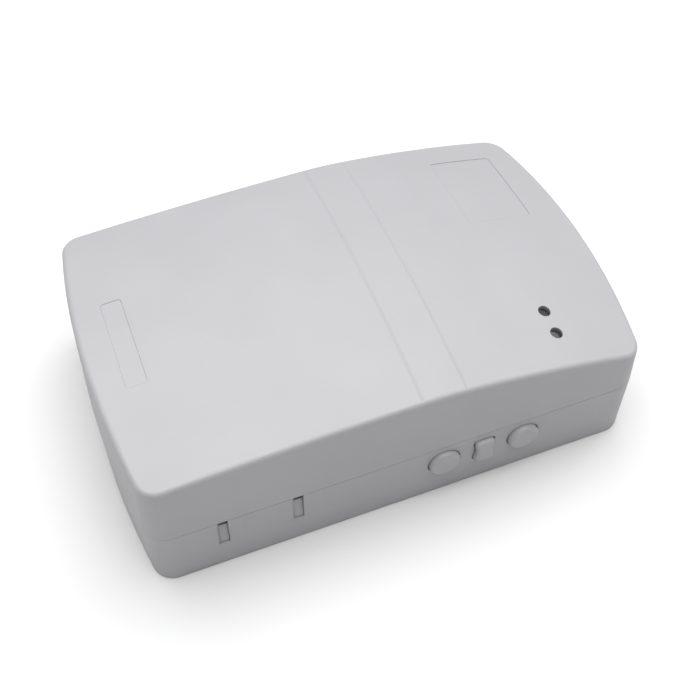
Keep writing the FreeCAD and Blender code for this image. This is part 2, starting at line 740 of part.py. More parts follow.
def make_lid():
    lid = new_body("lid_shell")
    outline = new_sketch(lid, "lid_outline", out="base_height")
    add_outline(outline)
    pad(lid, "lid_pad", outline, LID_HEIGHT, "-lid_draft")
    trim_to_crown(lid, "lid_crown")
    rim = rim_edges(lid.Tip.Shape)
    round_edges(lid, "lid_top_round", "top_round", lambda edge: any(edge.isSame(other) for other in rim))
    end_label = make_label_place(
        "end_label_space",
        "end_label_width",
        "end_label_length",
        "end_label_from_end - case_length / 2",
        "end_label_from_front - case_width / 2",
    )
    square_label = make_label_place(
        "square_label_space",
        "square_label_width",
        "square_label_length",
        "case_length / 2 - square_label_from_end",
        "case_width / 2 - square_label_from_back",
    )
    cut_by(lid, "lid_hollow", [make_lid_core()])
    cut_by(lid, "label_places", [end_label, square_label])
    add_band_grooves(lid)

    lap = new_sketch(lid, "lid_lap", out="base_height")
    add_outline(lap, "wall - lap_thickness - lap_gap")
    add_outline(lap, "wall + lap_gap")
    pocket(lid, "lid_lap_cut", lap, "lap_height + lap_gap", forwards=True)

    # The fine dark line between the shells: the outer wall stops just short of the base
    parting = new_sketch(lid, "parting_line", out="base_height")
    add_outline(parting, "-lap_thickness")
    add_outline(parting, "wall - lap_thickness")
    pocket(lid, "parting_line_cut", parting, "parting_gap", forwards=True)

    lights = new_sketch(lid, "light_holes", out="base_height")
    for side in SIDES:
        add_circle(lights, "light_hole", LIGHT_X, f"{LIGHT_Y} + {side} * light_spacing / 2")
    pocket(lid, "light_hole_cut", lights, LID_HEIGHT, forwards=True)

    bores = new_sketch(lid, "lid_boss_bores", out="base_height")
    for across, along in CORNERS:
        add_circle(
            bores, "lid_screw_diameter + 2 * lid_screw_gap", f"{across} * {PILLAR_X}", f"{along} * {PILLAR_Y}"
        )
    depth = "lid_screw_seat + lid_screw_length - base_height + 2 * lid_screw_gap"
    pocket(lid, "lid_boss_bore_cut", bores, depth, forwards=True)

    # Tongues that stand in the front slots, rooted on the inside of the wall above the lap
    top = "base_height + lap_height + lap_gap + tongue_rise"
    foot = "base_height - slot_height + tongue_end_gap"
    lean_height = f"(slot_height - tongue_end_gap + {CLEAR})"
    for name, side in (("left", -1), ("right", 1)):
        middle = f"{SLOTS_X} + {side} * slot_spacing / 2"
        tongue = new_sketch(
            lid,
            f"{name}_tongue",
            right=middle,
            up="tongue_recess + tongue_thickness / 2 - case_width / 2",
            out=foot,
        )
        add_rectangle(tongue, "slot_width - 2 * tongue_gap", "tongue_thickness")
        pad(lid, f"{name}_tongue_pad", tongue, f"({top}) - ({foot})")

        # The tongue's face leans inwards from its foot to the lid's edge
        lean = new_sketch(
            lid,
            f"{name}_tongue_lean",
            right=middle,
            up=f"tongue_recess - {CLEAR} - case_width / 2",
            out="base_height",
        )
        add_rectangle(lean, "2 * slot_width", f"2 * ({CLEAR} + tan(tongue_lean) * {lean_height})")
        pocket(lid, f"{name}_tongue_lean_cut", lean, lean_height, taper="-tongue_lean")

        # A notch across that face, just under the lid's edge
        notch = new_sketch(
            lid,
            f"{name}_tongue_notch",
            right=middle,
            up="tongue_recess - case_width / 2",
            out="base_height - tongue_notch_height",
        )
        add_rectangle(notch, "slot_width", "2 * tongue_notch_depth")
        pocket(lid, f"{name}_tongue_notch_cut", notch, "tongue_notch_height", forwards=True)
    return lid


# Base


def make_base_core():
    """The space inside the base, with the screw pillars and board supports left out of it."""
    core = new_body("base_core")
    outline = new_sketch(core, "base_core_outline", out="base_height")
    add_outline(outline, "wall")
    pad(core, "base_core_pad", outline, "base_height - floor_thickness", "-base_draft", backwards=True)
    pillars = new_sketch(core, "base_core_pillars", out="base_height")
    for across, along in CORNERS:
        add_circle(pillars, PILLAR_DIAMETER, f"{across} * {PILLAR_X}", f"{along} * {PILLAR_Y}")
    pocket(core, "base_core_pillar_cut", pillars, "base_height")
    supports = new_sketch(core, "base_core_supports", out="floor_thickness")
    for across in SIDES:
        add_circle(supports, "standoff_diameter", f"{across} * {BOARD_HOLE_X}", f"-{BOARD_HOLE_FRONT}")
        add_circle(supports, "standoff_diameter", f"{across} * {BOARD_HOLE_X}", BOARD_HOLE_BACK)
    pocket(core, "base_core_support_cut", supports, f"{BOARD_UNDERSIDE} - floor_thickness", forwards=True)
    return core


def make_base():
    base = new_body("base_shell")
    outline = new_sketch(base, "base_outline", out="base_height")
    add_outline(outline)
    pad(base, "base_pad", outline, "base_height", "-base_draft", backwards=True)
    round_edges(base, "base_bottom_round", "bottom_round", is_level_with("0"))
    cut_by(base, "base_hollow", [make_base_core()])

    lap = new_sketch(base, "base_lap", out="base_height")
    add_outline(lap, "wall - lap_thickness")
    add_outline(lap, "wall")
    pad(base, "base_lap_pad", lap, "lap_height")

    front = "case_width / 2"
    slot_top = f"(base_height + lap_height + {CLEAR})"
    for name, side in (("left", -1), ("right", 1)):
        middle = f"{SLOTS_X} + {side} * slot_spacing / 2"
        slot = new_sketch(base, f"{name}_slot", "XZ_Plane", right=middle, out=front)
        tall = f"({slot_top} - base_height + slot_height)"
        add_rectangle(slot, "slot_width", tall, up=f"{slot_top} - {tall} / 2")
        pocket(base, f"{name}_slot_cut", slot, THROUGH_WALL)
        edge_x, skin_y = number(f"{middle} - slot_width / 2"), number("lap_thickness - case_width / 2")
        bevel_edges(
            base,
            f"{name}_slot_bevel",
            "slot_bevel",
            lambda edge: all(abs(point.X - edge_x) < TINY and point.Y < skin_y for point in edge.Vertexes),
        )

    for name, step in BUTTONS.items():
        hole = new_sketch(
            base,
            f"{name}_button_hole",
            "XZ_Plane",
            right=f"{BUTTONS_X} + {step} * button_pitch",
            up="button_height",
            out=front,
        )
        if name == "stop":
            add_stop_shape(hole)
        else:
            add_circle(hole, "button_hole")
        pocket(base, f"{name}_button_hole_cut", hole, THROUGH_WALL)

    entries = new_sketch(base, "cable_entries", "XZ_Plane", up="entry_height", out=f"-({front})")
    for step in (-1, 0, 1):
        add_circle(entries, "entry_hole", f"entry_middle_x + {step} * entry_spacing")
    pocket(base, "cable_entry_cut", entries, THROUGH_WALL, forwards=True)

    shanks = new_sketch(base, "lid_screw_holes")
    heads = new_sketch(base, "lid_screw_wells")
    for across, along in CORNERS:
        spot = (f"{across} * {PILLAR_X}", f"{along} * {PILLAR_Y}")
        add_circle(shanks, "lid_screw_diameter + 2 * lid_screw_gap", *spot)
        add_circle(heads, "lid_screw_head + 2 * lid_screw_head_gap", *spot)
    pocket(base, "lid_screw_hole_cut", shanks, f"base_height + {CLEAR}", forwards=True)
    pocket(base, "lid_screw_well_cut", heads, "lid_screw_seat", forwards=True)

    fixings = new_sketch(base, "wall_fixings")
    for across, along in CORNERS:
        add_circle(fixings, "fixing_hole", f"{across} * {FIXING_X}", f"{along} * fixing_spacing / 2")
    pocket(base, "wall_fixing_cut", fixings, f"floor_thickness + {CLEAR}", forwards=True)

    pilots = new_sketch(base, "board_screw_pilots", out=BOARD_UNDERSIDE)
    pilot = "board_screw_diameter + 2 * board_screw_pilot_gap"
    for across in SIDES:
        add_circle(pilots, pilot, f"{across} * {BOARD_HOLE_X}", f"-{BOARD_HOLE_FRONT}")
        add_circle(pilots, pilot, f"{across} * {BOARD_HOLE_X}", BOARD_HOLE_BACK)
    pocket(base, "board_screw_pilot_cut", pilots, f"board_screw_length - board_thickness + {CLEAR}")
    return base


# Push-buttons and the switches behind them


def make_button(name, step):
    """One moulded cap: its shaft through the wall, a flange behind the wall and a stem."""
    cap = new_body(f"{name}_button_cap")
    place(cap, f"{BUTTONS_X} + {step} * button_pitch", f"-{WALL_AT_BUTTON}", "button_height")
    back = "wall + flange_gap + flange_thickness"
    outlines = {}
    for role, inset in (("flange", "-flange_overlap"), ("shaft", "button_gap")):
        sketch = new_sketch(cap, f"{name}_{role}", "XZ_Plane", out=f"-({back})")
        if name == "stop":
            add_stop_shape(sketch, inset)
        else:
            add_circle(sketch, f"button_hole - 2 * ({inset})")
        outlines[role] = sketch
    pad(cap, f"{name}_flange_pad", outlines["flange"], "flange_thickness")
    pad(cap, f"{name}_shaft_pad", outlines["shaft"], f"({back}) + button_proud")
    face = -number("button_proud")
    round_edges(
        cap,
        f"{name}_face_round",
        "button_edge",
        lambda edge: all(abs(point.Y - face) < TINY for point in edge.Vertexes),
    )
    stem = new_sketch(cap, f"{name}_stem", "XZ_Plane", out=f"-({back})")
    add_circle(stem, "stem_diameter")
    reach = f"{WALL_AT_BUTTON} - ({back}) - ({BOARD_FRONT} - switch_from_edge) - plunger_proud"
    pad(cap, f"{name}_stem_pad", stem, reach, backwards=True)
    return cap


def make_switch(name, step):
    """One key switch: a square body on the board, its steel bracket and its plunger."""
    right = f"{BUTTONS_X} + {step} * button_pitch"
    front = f"-({BOARD_FRONT} - switch_from_edge)"
    body = new_body(f"{name}_switch_body")
    place(body, right, front, "button_height")
    case = new_sketch(body, f"{name}_switch_outline", "XZ_Plane")
    add_rectangle(case, "switch_width", "switch_width")
    pad(body, f"{name}_switch_pad", case, "switch_depth", backwards=True)
    well = new_sketch(body, f"{name}_switch_well", "XZ_Plane")
    add_circle(well, "plunger_diameter + 2 * plunger_gap")
    pocket(body, f"{name}_switch_well_cut", well, "plunger_sunk + button_travel + plunger_gap")

    plunger = new_body(f"{name}_switch_plunger")
    place(plunger, right, front, "button_height")
    rod = new_sketch(plunger, f"{name}_plunger_outline", "XZ_Plane", out="plunger_proud")
    add_circle(rod, "plunger_diameter")
    pad(plunger, f"{name}_plunger_pad", rod, "plunger_proud + plunger_sunk", backwards=True)

    bracket = new_body(f"{name}_switch_bracket")
    place(bracket, right, front, "button_height")
    strap_front = "(bracket_tab - switch_depth) / 2"
    strap = new_sketch(bracket, f"{name}_bracket_outline", "XZ_Plane", out=strap_front)
    outer, inner = "switch_width / 2 + bracket_thickness", "switch_width / 2"
    add_polygon(
        strap,
        [
            (f"-({outer})", "-switch_axis_height"),
            (f"-({inner})", "-switch_axis_height"),
            (f"-({inner})", inner),
            (inner, inner),
            (inner, "-switch_axis_height"),
            (outer, "-switch_axis_height"),
            (outer, outer),
            (f"-({outer})", outer),
        ],
    )
    pad(bracket, f"{name}_bracket_pad", strap, "bracket_tab", backwards=True)
    return bracket


# Fasteners


def make_screw(name, spot, head, head_height, shank, length, head_up):
    """A cross-recess screw whose head's seat is at the given place."""
    screw = new_body(name)
    place(screw, *spot)
    way = "1" if head_up else "-1"
    profile = new_sketch(screw, name + "_profile", "XZ_Plane")
    add_polygon(
        profile,
        [
            ("0", f"-({way}) * ({length})"),
            (f"({shank}) / 2 - screw_tip_bevel", f"-({way}) * ({length})"),
            (f"({shank}) / 2", f"-({way}) * (({length}) - screw_tip_length)"),
            (f"({shank}) / 2", "0"),
            (f"({head}) / 2", "0"),
            (f"({head}) / 2", f"({way}) * ({head_height}) * screw_head_side"),
            (f"({head}) / 2 - screw_head_bevel", f"({way}) * ({head_height})"),
            ("0", f"({way}) * ({head_height})"),
        ],
    )
    revolve(screw, name + "_turned", profile, "V_Axis")
    for across, tall in (("recess_length", "recess_width"), ("recess_width", "recess_length")):
        recess = new_sketch(screw, f"{name}_{across}", out=f"({way}) * ({head_height})")
        add_rectangle(recess, across, tall)
        pocket(screw, f"{name}_{across}_cut", recess, "recess_depth", forwards=not head_up)
    return screw


def group(label, members):
    """Several separate solids that share one name."""
    compound = doc.addObject("Part::Compound", label)
    compound.Label = label
    compound.Links = members
    doc.recompute()
    return compound


def make_screws():
    lid_screws = [
        make_screw(
            f"lid_screw_{index}",
            (f"{across} * {PILLAR_X}", f"{along} * {PILLAR_Y}", "lid_screw_seat"),
            "lid_screw_head",
            "lid_screw_head_height",
            "lid_screw_diameter",
            "lid_screw_length",
            head_up=False,
        )
        for index, (across, along) in enumerate(CORNERS, start=1)
    ]
    rows = {-1: f"-{BOARD_HOLE_FRONT}", 1: BOARD_HOLE_BACK}
    board_screws = [
        make_screw(
            f"board_screw_{index}",
            (f"{across} * {BOARD_HOLE_X}", rows[along], BOARD_TOP),
            "board_screw_head",
            "board_screw_head_height",
            "board_screw_diameter",
            "board_screw_length",
            head_up=True,
        )
        for index, (across, along) in enumerate(CORNERS, start=1)
    ]
    return [group("lid_screws", lid_screws), group("board_screws", board_screws)]


# Cable grommets


def make_grommet(name, step):
    """A rubber ring that grips the edge of one cable entry from both sides."""
    grommet = new_body(name)
    place(grommet, f"entry_middle_x + {step} * entry_spacing", WALL_AT_ENTRY, "entry_height")
    profile = new_sketch(grommet, name + "_profile", "YZ_Plane")
    neck = "entry_hole / 2 - grommet_gap"
    lip = "entry_hole / 2 + grommet_lip"
    inner_face = "-(wall + grommet_gap)"
    add_polygon(
        profile,
        [
            (f"{inner_face} - grommet_lip_thickness", "grommet_bore / 2"),
            ("grommet_gap + grommet_lip_thickness", "grommet_bore / 2"),
            ("grommet_gap + grommet_lip_thickness", f"({lip}) - grommet_lip_bevel"),
            ("grommet_gap", lip),
            ("grommet_gap", neck),
            (inner_face, neck),
            (inner_face, lip),
            (f"{inner_face} - grommet_lip_thickness", f"({lip}) - grommet_lip_bevel"),
        ],
    )
    revolve(grommet, name + "_turned", profile, "H_Axis")
    return grommet


# Circuit board and what it carries


def make_board():
    board = new_body("main_board")
    middle = f"({BOARD_BACK} - {BOARD_FRONT}) / 2"
    outline = new_sketch(board, "board_outline", up=middle, out=BOARD_UNDERSIDE)
    add_rectangle(outline, BOARD_LENGTH, f"{BOARD_FRONT} + {BOARD_BACK}")
    pad(board, "board_pad", outline, "board_thickness")
    holes = new_sketch(board, "board_holes", out=BOARD_UNDERSIDE)
    for across in SIDES:
        add_circle(holes, "board_hole", f"{across} * {BOARD_HOLE_X}", f"-{BOARD_HOLE_FRONT}")
        add_circle(holes, "board_hole", f"{across} * {BOARD_HOLE_X}", BOARD_HOLE_BACK)
    pocket(board, "board_hole_cut", holes, "board_thickness", forwards=True)
    corner_x = number(BOARD_LENGTH) / 2
    round_edges(
        board,
        "board_corners",
        "board_corner",
        lambda edge: is_upright(edge) and abs(abs(edge.Vertexes[0].X) - corner_x) < TINY,
    )


def make_block(label, length, depth, height, right, back, up=BOARD_TOP, edge=None):
    """A moulded block placed by the middle of its footprint, its upright edges rounded."""
    block = new_body(label)
    place(block, right, back, up)
    footprint = new_sketch(block, label + "_footprint")
    add_rectangle(footprint, length, depth)
    pad(block, label + "_pad", footprint, height)
    if edge:
        round_edges(block, label + "_edges", edge, is_upright)
    return block


def make_can(label, diameter, height, right, back, edge):
    """A round can that stands on the board, its top edge rounded."""
    can = new_body(label)
    place(can, right, back, BOARD_TOP)
    footprint = new_sketch(can, label + "_footprint")
    add_circle(footprint, diameter)
    pad(can, label + "_pad", footprint, height)
    round_edges(can, label + "_rim", edge, is_level_with(height))
    return can


def make_transformer():
    """Laminated core with two windows, the bobbin on its middle leg and the coil on the bobbin."""
    middle = f"transformer_from_front + bobbin_overhang + core_stack / 2 - {BOARD_FRONT}"
    spot = (TRANSFORMER_X, middle, BOARD_TOP)
    core = new_body("transformer_core")
    place(core, *spot)
    plates = new_sketch(core, "core_plates", "XZ_Plane", up="core_height / 2", out="core_stack / 2")
    add_rectangle(plates, "core_length", "core_height")
    window = "(core_length - 2 * core_leg - core_middle_leg) / 2"
    for side in SIDES:
        shift = f"{side} * (core_middle_leg + {window}) / 2"
        add_rectangle(plates, window, "core_height - 2 * core_leg", right=shift)
    pad(core, "core_pad", plates, "core_stack", backwards=True)

    # The bobbin: a tube round the middle leg, a cheek at each end and two feet on the board
    hole = ("core_middle_leg + 2 * coil_clearance", "core_stack + 2 * coil_clearance")
    tube = [f"{size} + 2 * bobbin_wall" for size in hole]
    cheek = ("core_length - 2 * core_leg - 2 * coil_clearance", "core_stack + 2 * bobbin_overhang")
    bottom, top = "core_leg + coil_clearance", "core_height - core_leg - coil_clearance"
    bobbin = new_body("transformer_bobbin")
    place(bobbin, *spot)
    layers = {
        "lower_cheek": (cheek, bottom, "bobbin_wall"),
        "tube": (tube, bottom, f"({top}) - ({bottom})"),
        "upper_cheek": (cheek, f"{top} - bobbin_wall", "bobbin_wall"),
    }
    for name, (outer, level, height) in layers.items():
        layer = new_sketch(bobbin, f"bobbin_{name}", out=level)
        add_rectangle(layer, *outer)
        add_rectangle(layer, *hole)
        pad(bobbin, f"bobbin_{name}_pad", layer, height)
    feet = new_sketch(bobbin, "bobbin_feet")
    for side in SIDES:
        add_rectangle(feet, cheek[0], "2 * bobbin_wall", up=f"{side} * (({cheek[1]}) / 2 - bobbin_wall)")
    pad(bobbin, "bobbin_feet_pad", feet, bottom)

    coil = new_body("transformer_coil")
    place(coil, *spot)
    winding = new_sketch(coil, "coil_outline", out=f"{bottom} + bobbin_wall")
    wound = [f"{size} - 2 * coil_inset" for size in cheek]
    add_rectangle(winding, *wound)
    add_rectangle(winding, *tube)
    pad(coil, "coil_pad", winding, f"({top}) - ({bottom}) - 2 * bobbin_wall")
    side_x = number(wound[0]) / 2
    round_edges(
        coil,
        "coil_corners",
        "2 * bobbin_wall",
        lambda edge: is_upright(edge) and abs(abs(edge.Vertexes[0].X) - side_x) < TINY,
    )


def make_relays():
    """Two relays side by side, in the middle of the room between the transformer and the radio."""
    room = f"({TRANSFORMER_X} + core_length / 2 + {RADIO_X} - radio_length / 2) / 2"
    back = f"{TERMINALS_FRONT} - relay_from_terminals - relay_length / 2"
    for name, side in RELAYS.items():
        make_block(
            f"{name}_relay",
            "relay_width",
            "relay_length",
            "relay_height",
            f"{room} + {side} * (relay_width + relay_gap) / 2",
            back,
            edge="relay_edge",
        )


def make_terminal(name, ways, right, pitch):
    """A screw terminal strip with a wire mouth at the back and a screw well for each way."""
    strip = new_body(f"{name}_terminal")
    middle = f"{TERMINALS_FRONT} + terminal_depth / 2"
    place(strip, right, middle, BOARD_TOP)
    length = f"({ways} * {pitch} + 2 * terminal_end)"
    section = new_sketch(strip, f"{name}_section", "YZ_Plane", out=f"-{length} / 2")
    edge, shoulder = "terminal_depth / 2", "terminal_height - terminal_bevel_height"
    half_profile = [(edge, "0"), (edge, shoulder), (f"{edge} - terminal_bevel", "terminal_height")]
    other_half = [(f"-({across})", tall) for across, tall in reversed(half_profile)]
    add_polygon(section, half_profile + other_half)
    pad(strip, f"{name}_pad", section, length)
    places = [f"({way - (ways - 1) / 2}) * {pitch}" for way in range(ways)]
    well = f"({pitch} - terminal_rib)"
    mouth_middle = "terminal_mouth_sill + terminal_mouth_height / 2"
    mouths = new_sketch(strip, f"{name}_mouths", "XZ_Plane", up=mouth_middle, out=f"-{edge}")
    wells = new_sketch(strip, f"{name}_wells", out="terminal_height")
    for spot in places:
        add_rectangle(mouths, well, "terminal_mouth_height", right=spot)
        add_circle(wells, well, spot)
    pocket(strip, f"{name}_mouth_cut", mouths, "terminal_depth / 2", forwards=True)
    pocket(strip, f"{name}_well_cut", wells, "terminal_well_depth")
    screws = []
    for index, spot in enumerate(places, start=1):
        screw = new_body(f"{name}_terminal_screw_{index}")
        place(screw, f"{right} + {spot}", middle, f"{BOARD_TOP} + terminal_height - terminal_well_depth")
        face = new_sketch(screw, f"{name}_screw_face_{index}")
        add_circle(face, f"{well} - 2 * terminal_screw_gap")
        pad(screw, f"{name}_screw_pad_{index}", face, "terminal_screw_height")
        slot = new_sketch(screw, f"{name}_screw_slot_{index}", out="terminal_screw_height")
        add_rectangle(slot, well, "terminal_slot_width")
        pocket(screw, f"{name}_screw_slot_cut_{index}", slot, "terminal_slot_depth")
        screws.append(screw)
    return screws


def make_terminals():
    motor_x = f"{MAINS_X} + ({MAINS_LENGTH} + {MOTOR_LENGTH}) / 2 + terminal_gap"
    sensor_x = f"{motor_x} + ({MOTOR_LENGTH} + {SENSOR_LENGTH}) / 2 + terminal_gap"
    screws = make_terminal("mains", 3, MAINS_X, "mains_terminal_pitch")
    screws += make_terminal("motor", 4, motor_x, "motor_terminal_pitch")
    screws += make_terminal("sensor", 8, sensor_x, "sensor_terminal_pitch")
    group("terminal_screws", screws)


def make_fuse():
    """A glass fuse with metal end caps in an open holder, and the surge suppressor beside it."""
    inner = "(fuse_diameter + 2 * fuse_holder_gap)"
    outer = f"({inner} + 2 * fuse_holder_wall)"
    length = "(fuse_length + 2 * fuse_holder_wall + 2 * fuse_holder_gap)"
    middle = f"({TERMINALS_FRONT} - fuse_from_terminals - {outer} / 2)"
    spot = (MAINS_X, middle, f"{BOARD_TOP} + fuse_axis_height")
    glass = new_body("fuse_glass")
    place(glass, *spot)
    barrel = new_sketch(glass, "fuse_glass_ring", "YZ_Plane", out="fuse_cap_length - fuse_length / 2")
    add_circle(barrel, "fuse_glass_diameter")
    add_circle(barrel, "fuse_glass_diameter - 2 * fuse_glass_wall")
    pad(glass, "fuse_glass_pad", barrel, "fuse_length - 2 * fuse_cap_length")
    caps = []
    for name, start in (("left", "-fuse_length / 2"), ("right", "fuse_length / 2 - fuse_cap_length")):
        cap = new_body(f"fuse_{name}_cap")
        place(cap, *spot)
        face = new_sketch(cap, f"fuse_{name}_face", "YZ_Plane", out=start)
        add_circle(face, "fuse_diameter")
        pad(cap, f"fuse_{name}_pad", face, "fuse_cap_length")
        caps.append(cap)
    group("fuse_caps", caps)

    holder = new_body("fuse_holder")
    place(holder, MAINS_X, middle, BOARD_TOP)
    tray = new_sketch(holder, "fuse_tray")
    add_rectangle(tray, length, outer)
    pad(holder, "fuse_tray_pad", tray, "fuse_axis_height + fuse_holder_lip")
    trough = new_sketch(holder, "fuse_trough", out="fuse_axis_height + fuse_holder_lip")
    add_rectangle(trough, "fuse_length + 2 * fuse_holder_gap", inner)
    pocket(holder, "fuse_trough_cut", trough, f"{inner} / 2 + fuse_holder_lip")

    suppressor = new_body("surge_suppressor")
    beside = f"{MAINS_X} + {length} / 2 + suppressor_gap + suppressor_thickness / 2"
    place(suppressor, beside, middle, BOARD_TOP)
    centre = "suppressor_lift + suppressor_diameter / 2"
    disc = new_sketch(suppressor, "suppressor_disc", "YZ_Plane", up=centre, out="-suppressor_thickness / 2")
    add_circle(disc, "suppressor_diameter")
    pad(suppressor, "suppressor_pad", disc, "suppressor_thickness")
    leads = new_sketch(suppressor, "suppressor_leads")
    for side in SIDES:
        add_circle(leads, "suppressor_lead", up=f"{side} * suppressor_lead_spacing / 2")
    pad(suppressor, "suppressor_lead_pad", leads, centre)


def make_power_parts():
    """Bridge rectifier, smoothing capacitors and the regulator, in front of the relays."""
    make_block(
        "bridge_rectifier",
        "rectifier_length",
        "rectifier_thickness",
        "rectifier_height",
        "rectifier_x",
        f"rectifier_from_front + rectifier_thickness / 2 - {BOARD_FRONT}",
    )
    make_can(
        "reservoir_capacitor",
        "reservoir_diameter",
        "reservoir_height",
        "reservoir_x",
        POWER_ROW_Y,
        "reservoir_edge",
    )
    bypass = [
        make_can(
            f"bypass_capacitor_{step + 1}",
            "bypass_diameter",
            "bypass_height",
            f"bypass_x + {step} * bypass_pitch",
            POWER_ROW_Y,
            "bypass_edge",
        )
        for step in range(2)
    ]
    group("bypass_capacitors", bypass)

    level = f"{BOARD_TOP} + regulator_lift"
    tab_back = f"{POWER_ROW_Y} + regulator_thickness / 2"
    make_block(
        "regulator_body",
        "regulator_length",
        "regulator_thickness",
        "regulator_height",
        "regulator_x",
        POWER_ROW_Y,
        level,
    )
    tab = new_body("regulator_tab")
    place(tab, "regulator_x", tab_back, level)
    plate = new_sketch(tab, "regulator_plate", "XZ_Plane", up="regulator_tab_height / 2")
    add_rectangle(plate, "regulator_length", "regulator_tab_height")
    add_circle(plate, "regulator_tab_hole", up="regulator_tab_height / 2 - regulator_tab_hole_drop")
    pad(tab, "regulator_plate_pad", plate, "regulator_tab_thickness", backwards=True)
    legs = [
        make_block(
            f"regulator_leg_{step + 2}",
            "regulator_leg_width",
            "regulator_leg_width",
            "regulator_lift",
            f"regulator_x + {step} * regulator_leg_pitch",
            POWER_ROW_Y,
        )
        for step in (-1, 0, 1)
    ]
    group("regulator_legs", legs)


def make_chip():
    """The controller chip: a moulded body on two rows of legs, with the timing crystal behind it."""
    level = f"{BOARD_TOP} + chip_lift"
    body = make_block("controller_chip", "chip_length", "chip_width", "chip_height", CHIP_X, CHIP_Y, level)
    notch = new_sketch(body, "chip_notch_outline", right="-chip_length / 2", out="chip_height")
    add_circle(notch, "chip_notch")
    pocket(body, "chip_notch_cut", notch, "chip_notch_depth")
    legs = []
    tall = "chip_lift + chip_height / 2"
    for row_name, side in (("front", -1), ("back", 1)):
        row = f"{CHIP_Y} + {side} * (chip_width + chip_leg_thickness) / 2"
        for index in range(CHIP_LEGS_A_SIDE):
            along = f"{CHIP_X} + {index - (CHIP_LEGS_A_SIDE - 1) / 2} * chip_leg_pitch"
            leg_name = f"chip_{row_name}_leg_{index + 1}"
            legs.append(make_block(leg_name, "chip_leg_width", "chip_leg_thickness", tall, along, row))
    group("chip_legs", legs)
    make_block(
        "timing_crystal",
        "crystal_length",
        "crystal_width",
        "crystal_height",
        CHIP_X,
        f"{CHIP_Y} + (chip_width + crystal_width) / 2 + crystal_gap",
        edge="crystal_round",
    )


def make_radio():
    """The receiver: a small upright board, its metal can and a straight wire aerial."""
    make_block("radio_board", "radio_length", "radio_thickness", "radio_height", RADIO_X, RADIO_Y)
    make_block(
        "radio_can",
        "radio_can_length",
        "radio_can_thickness",
        "radio_can_height",
        RADIO_X,
        f"{RADIO_Y} - (radio_thickness + radio_can_thickness) / 2",
        f"{BOARD_TOP} + radio_can_lift",
    )
    aerial = new_body("radio_aerial")
    free_end = f"{RADIO_X} + radio_length / 2 - aerial_diameter"
    back = f"{RADIO_Y} + (radio_thickness + aerial_diameter) / 2"
    place(aerial, free_end, back, f"{BOARD_TOP} + aerial_height")
    wire = new_sketch(aerial, "aerial_end", "YZ_Plane")
    add_circle(wire, "aerial_diameter")
    pad(aerial, "aerial_pad", wire, "aerial_length", backwards=True)


def make_lights():
    """Two board lights, and above each a clear rod that ends just under the lid's surface."""
    lamps = []
    pipes = []
    for index, side in enumerate(SIDES, start=1):
        back = f"{LIGHT_Y} + {side} * light_spacing / 2"
        lamp = new_body(f"status_light_{index}")
        place(lamp, LIGHT_X, back, BOARD_TOP)
        steps = (("rim", "led_rim", "led_rim_height"), ("dome", "led_diameter", "led_height"))
        for part, diameter, height in steps:
            ring = new_sketch(lamp, f"status_light_{part}_{index}")
            add_circle(ring, diameter)
            pad(lamp, f"status_light_{part}_pad_{index}", ring, height)
        round_edges(lamp, f"status_light_round_{index}", "led_dome_round", is_level_with("led_height"))
        lamps.append(lamp)

        pipe = new_body(f"light_pipe_{index}")
        foot = f"{BOARD_TOP} + led_height + light_gap"
        column = new_sketch(pipe, f"light_pipe_column_{index}", right=LIGHT_X, up=back, out=foot)
        add_circle(column, LIGHT_BORE)
        pad(pipe, f"light_pipe_pad_{index}", column, f"crest_height - {BOARD_TOP}")
        trim_to_crown(pipe, f"light_pipe_top_{index}", "light_pipe_sunk")
        pipes.append(pipe)
    group("status_lights", lamps)
    group("light_pipes", pipes)


make_base()
make_lid()
for name, step in BUTTONS.items():
    make_button(name, step)
group("switch_brackets", [make_switch(name, step) for name, step in BUTTONS.items()])
make_screws()
for name, step in CABLES.items():
    make_grommet(f"{name}_cable_grommet", step)
make_board()
make_transformer()
make_relays()
make_terminals()
make_fuse()
make_power_parts()
make_chip()
make_radio()
make_lights()
doc.recompute()

# Every body or group is a sub-part, apart from cutting tools and members of a group
members = {member.Name for item in doc.findObjects("Part::Compound") for member in item.Links}
tools = {tool.Name for item in doc.findObjects("PartDesign::Boolean") for tool in item.Group}
sub_parts = [
    item
    for item in doc.findObjects("PartDesign::Body") + doc.findObjects("Part::Compound")
    if item.Name not in members | tools
]

for item in doc.Objects:
    if {"Invalid", "Error"} & set(item.State):
        raise ValueError(f"{item.Label} failed: {item.State}")
for item in sub_parts:
    if item.Shape.isNull() or not item.Shape.isValid() or not item.Shape.Solids:
        raise ValueError(f"{item.Label} has no sound shape")

os.makedirs("parts", exist_ok=True)
for item in sub_parts:
    item.Shape.exportStep(os.path.join("parts", item.Label + ".step"))
print(f"{len(sub_parts)} sub-parts written")
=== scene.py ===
"""Looks of a garage door control panel: case, push-buttons, circuit board and fasteners.

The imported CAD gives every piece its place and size, in metres with +Z up. Each
sub-assembly below is a class that builds its own meshes over that frame and dresses
them. The camera stands where the photograph was taken from.
"""

import sys
import logging
import math
from dataclasses import dataclass, field
from enum import Enum
from typing import Callable

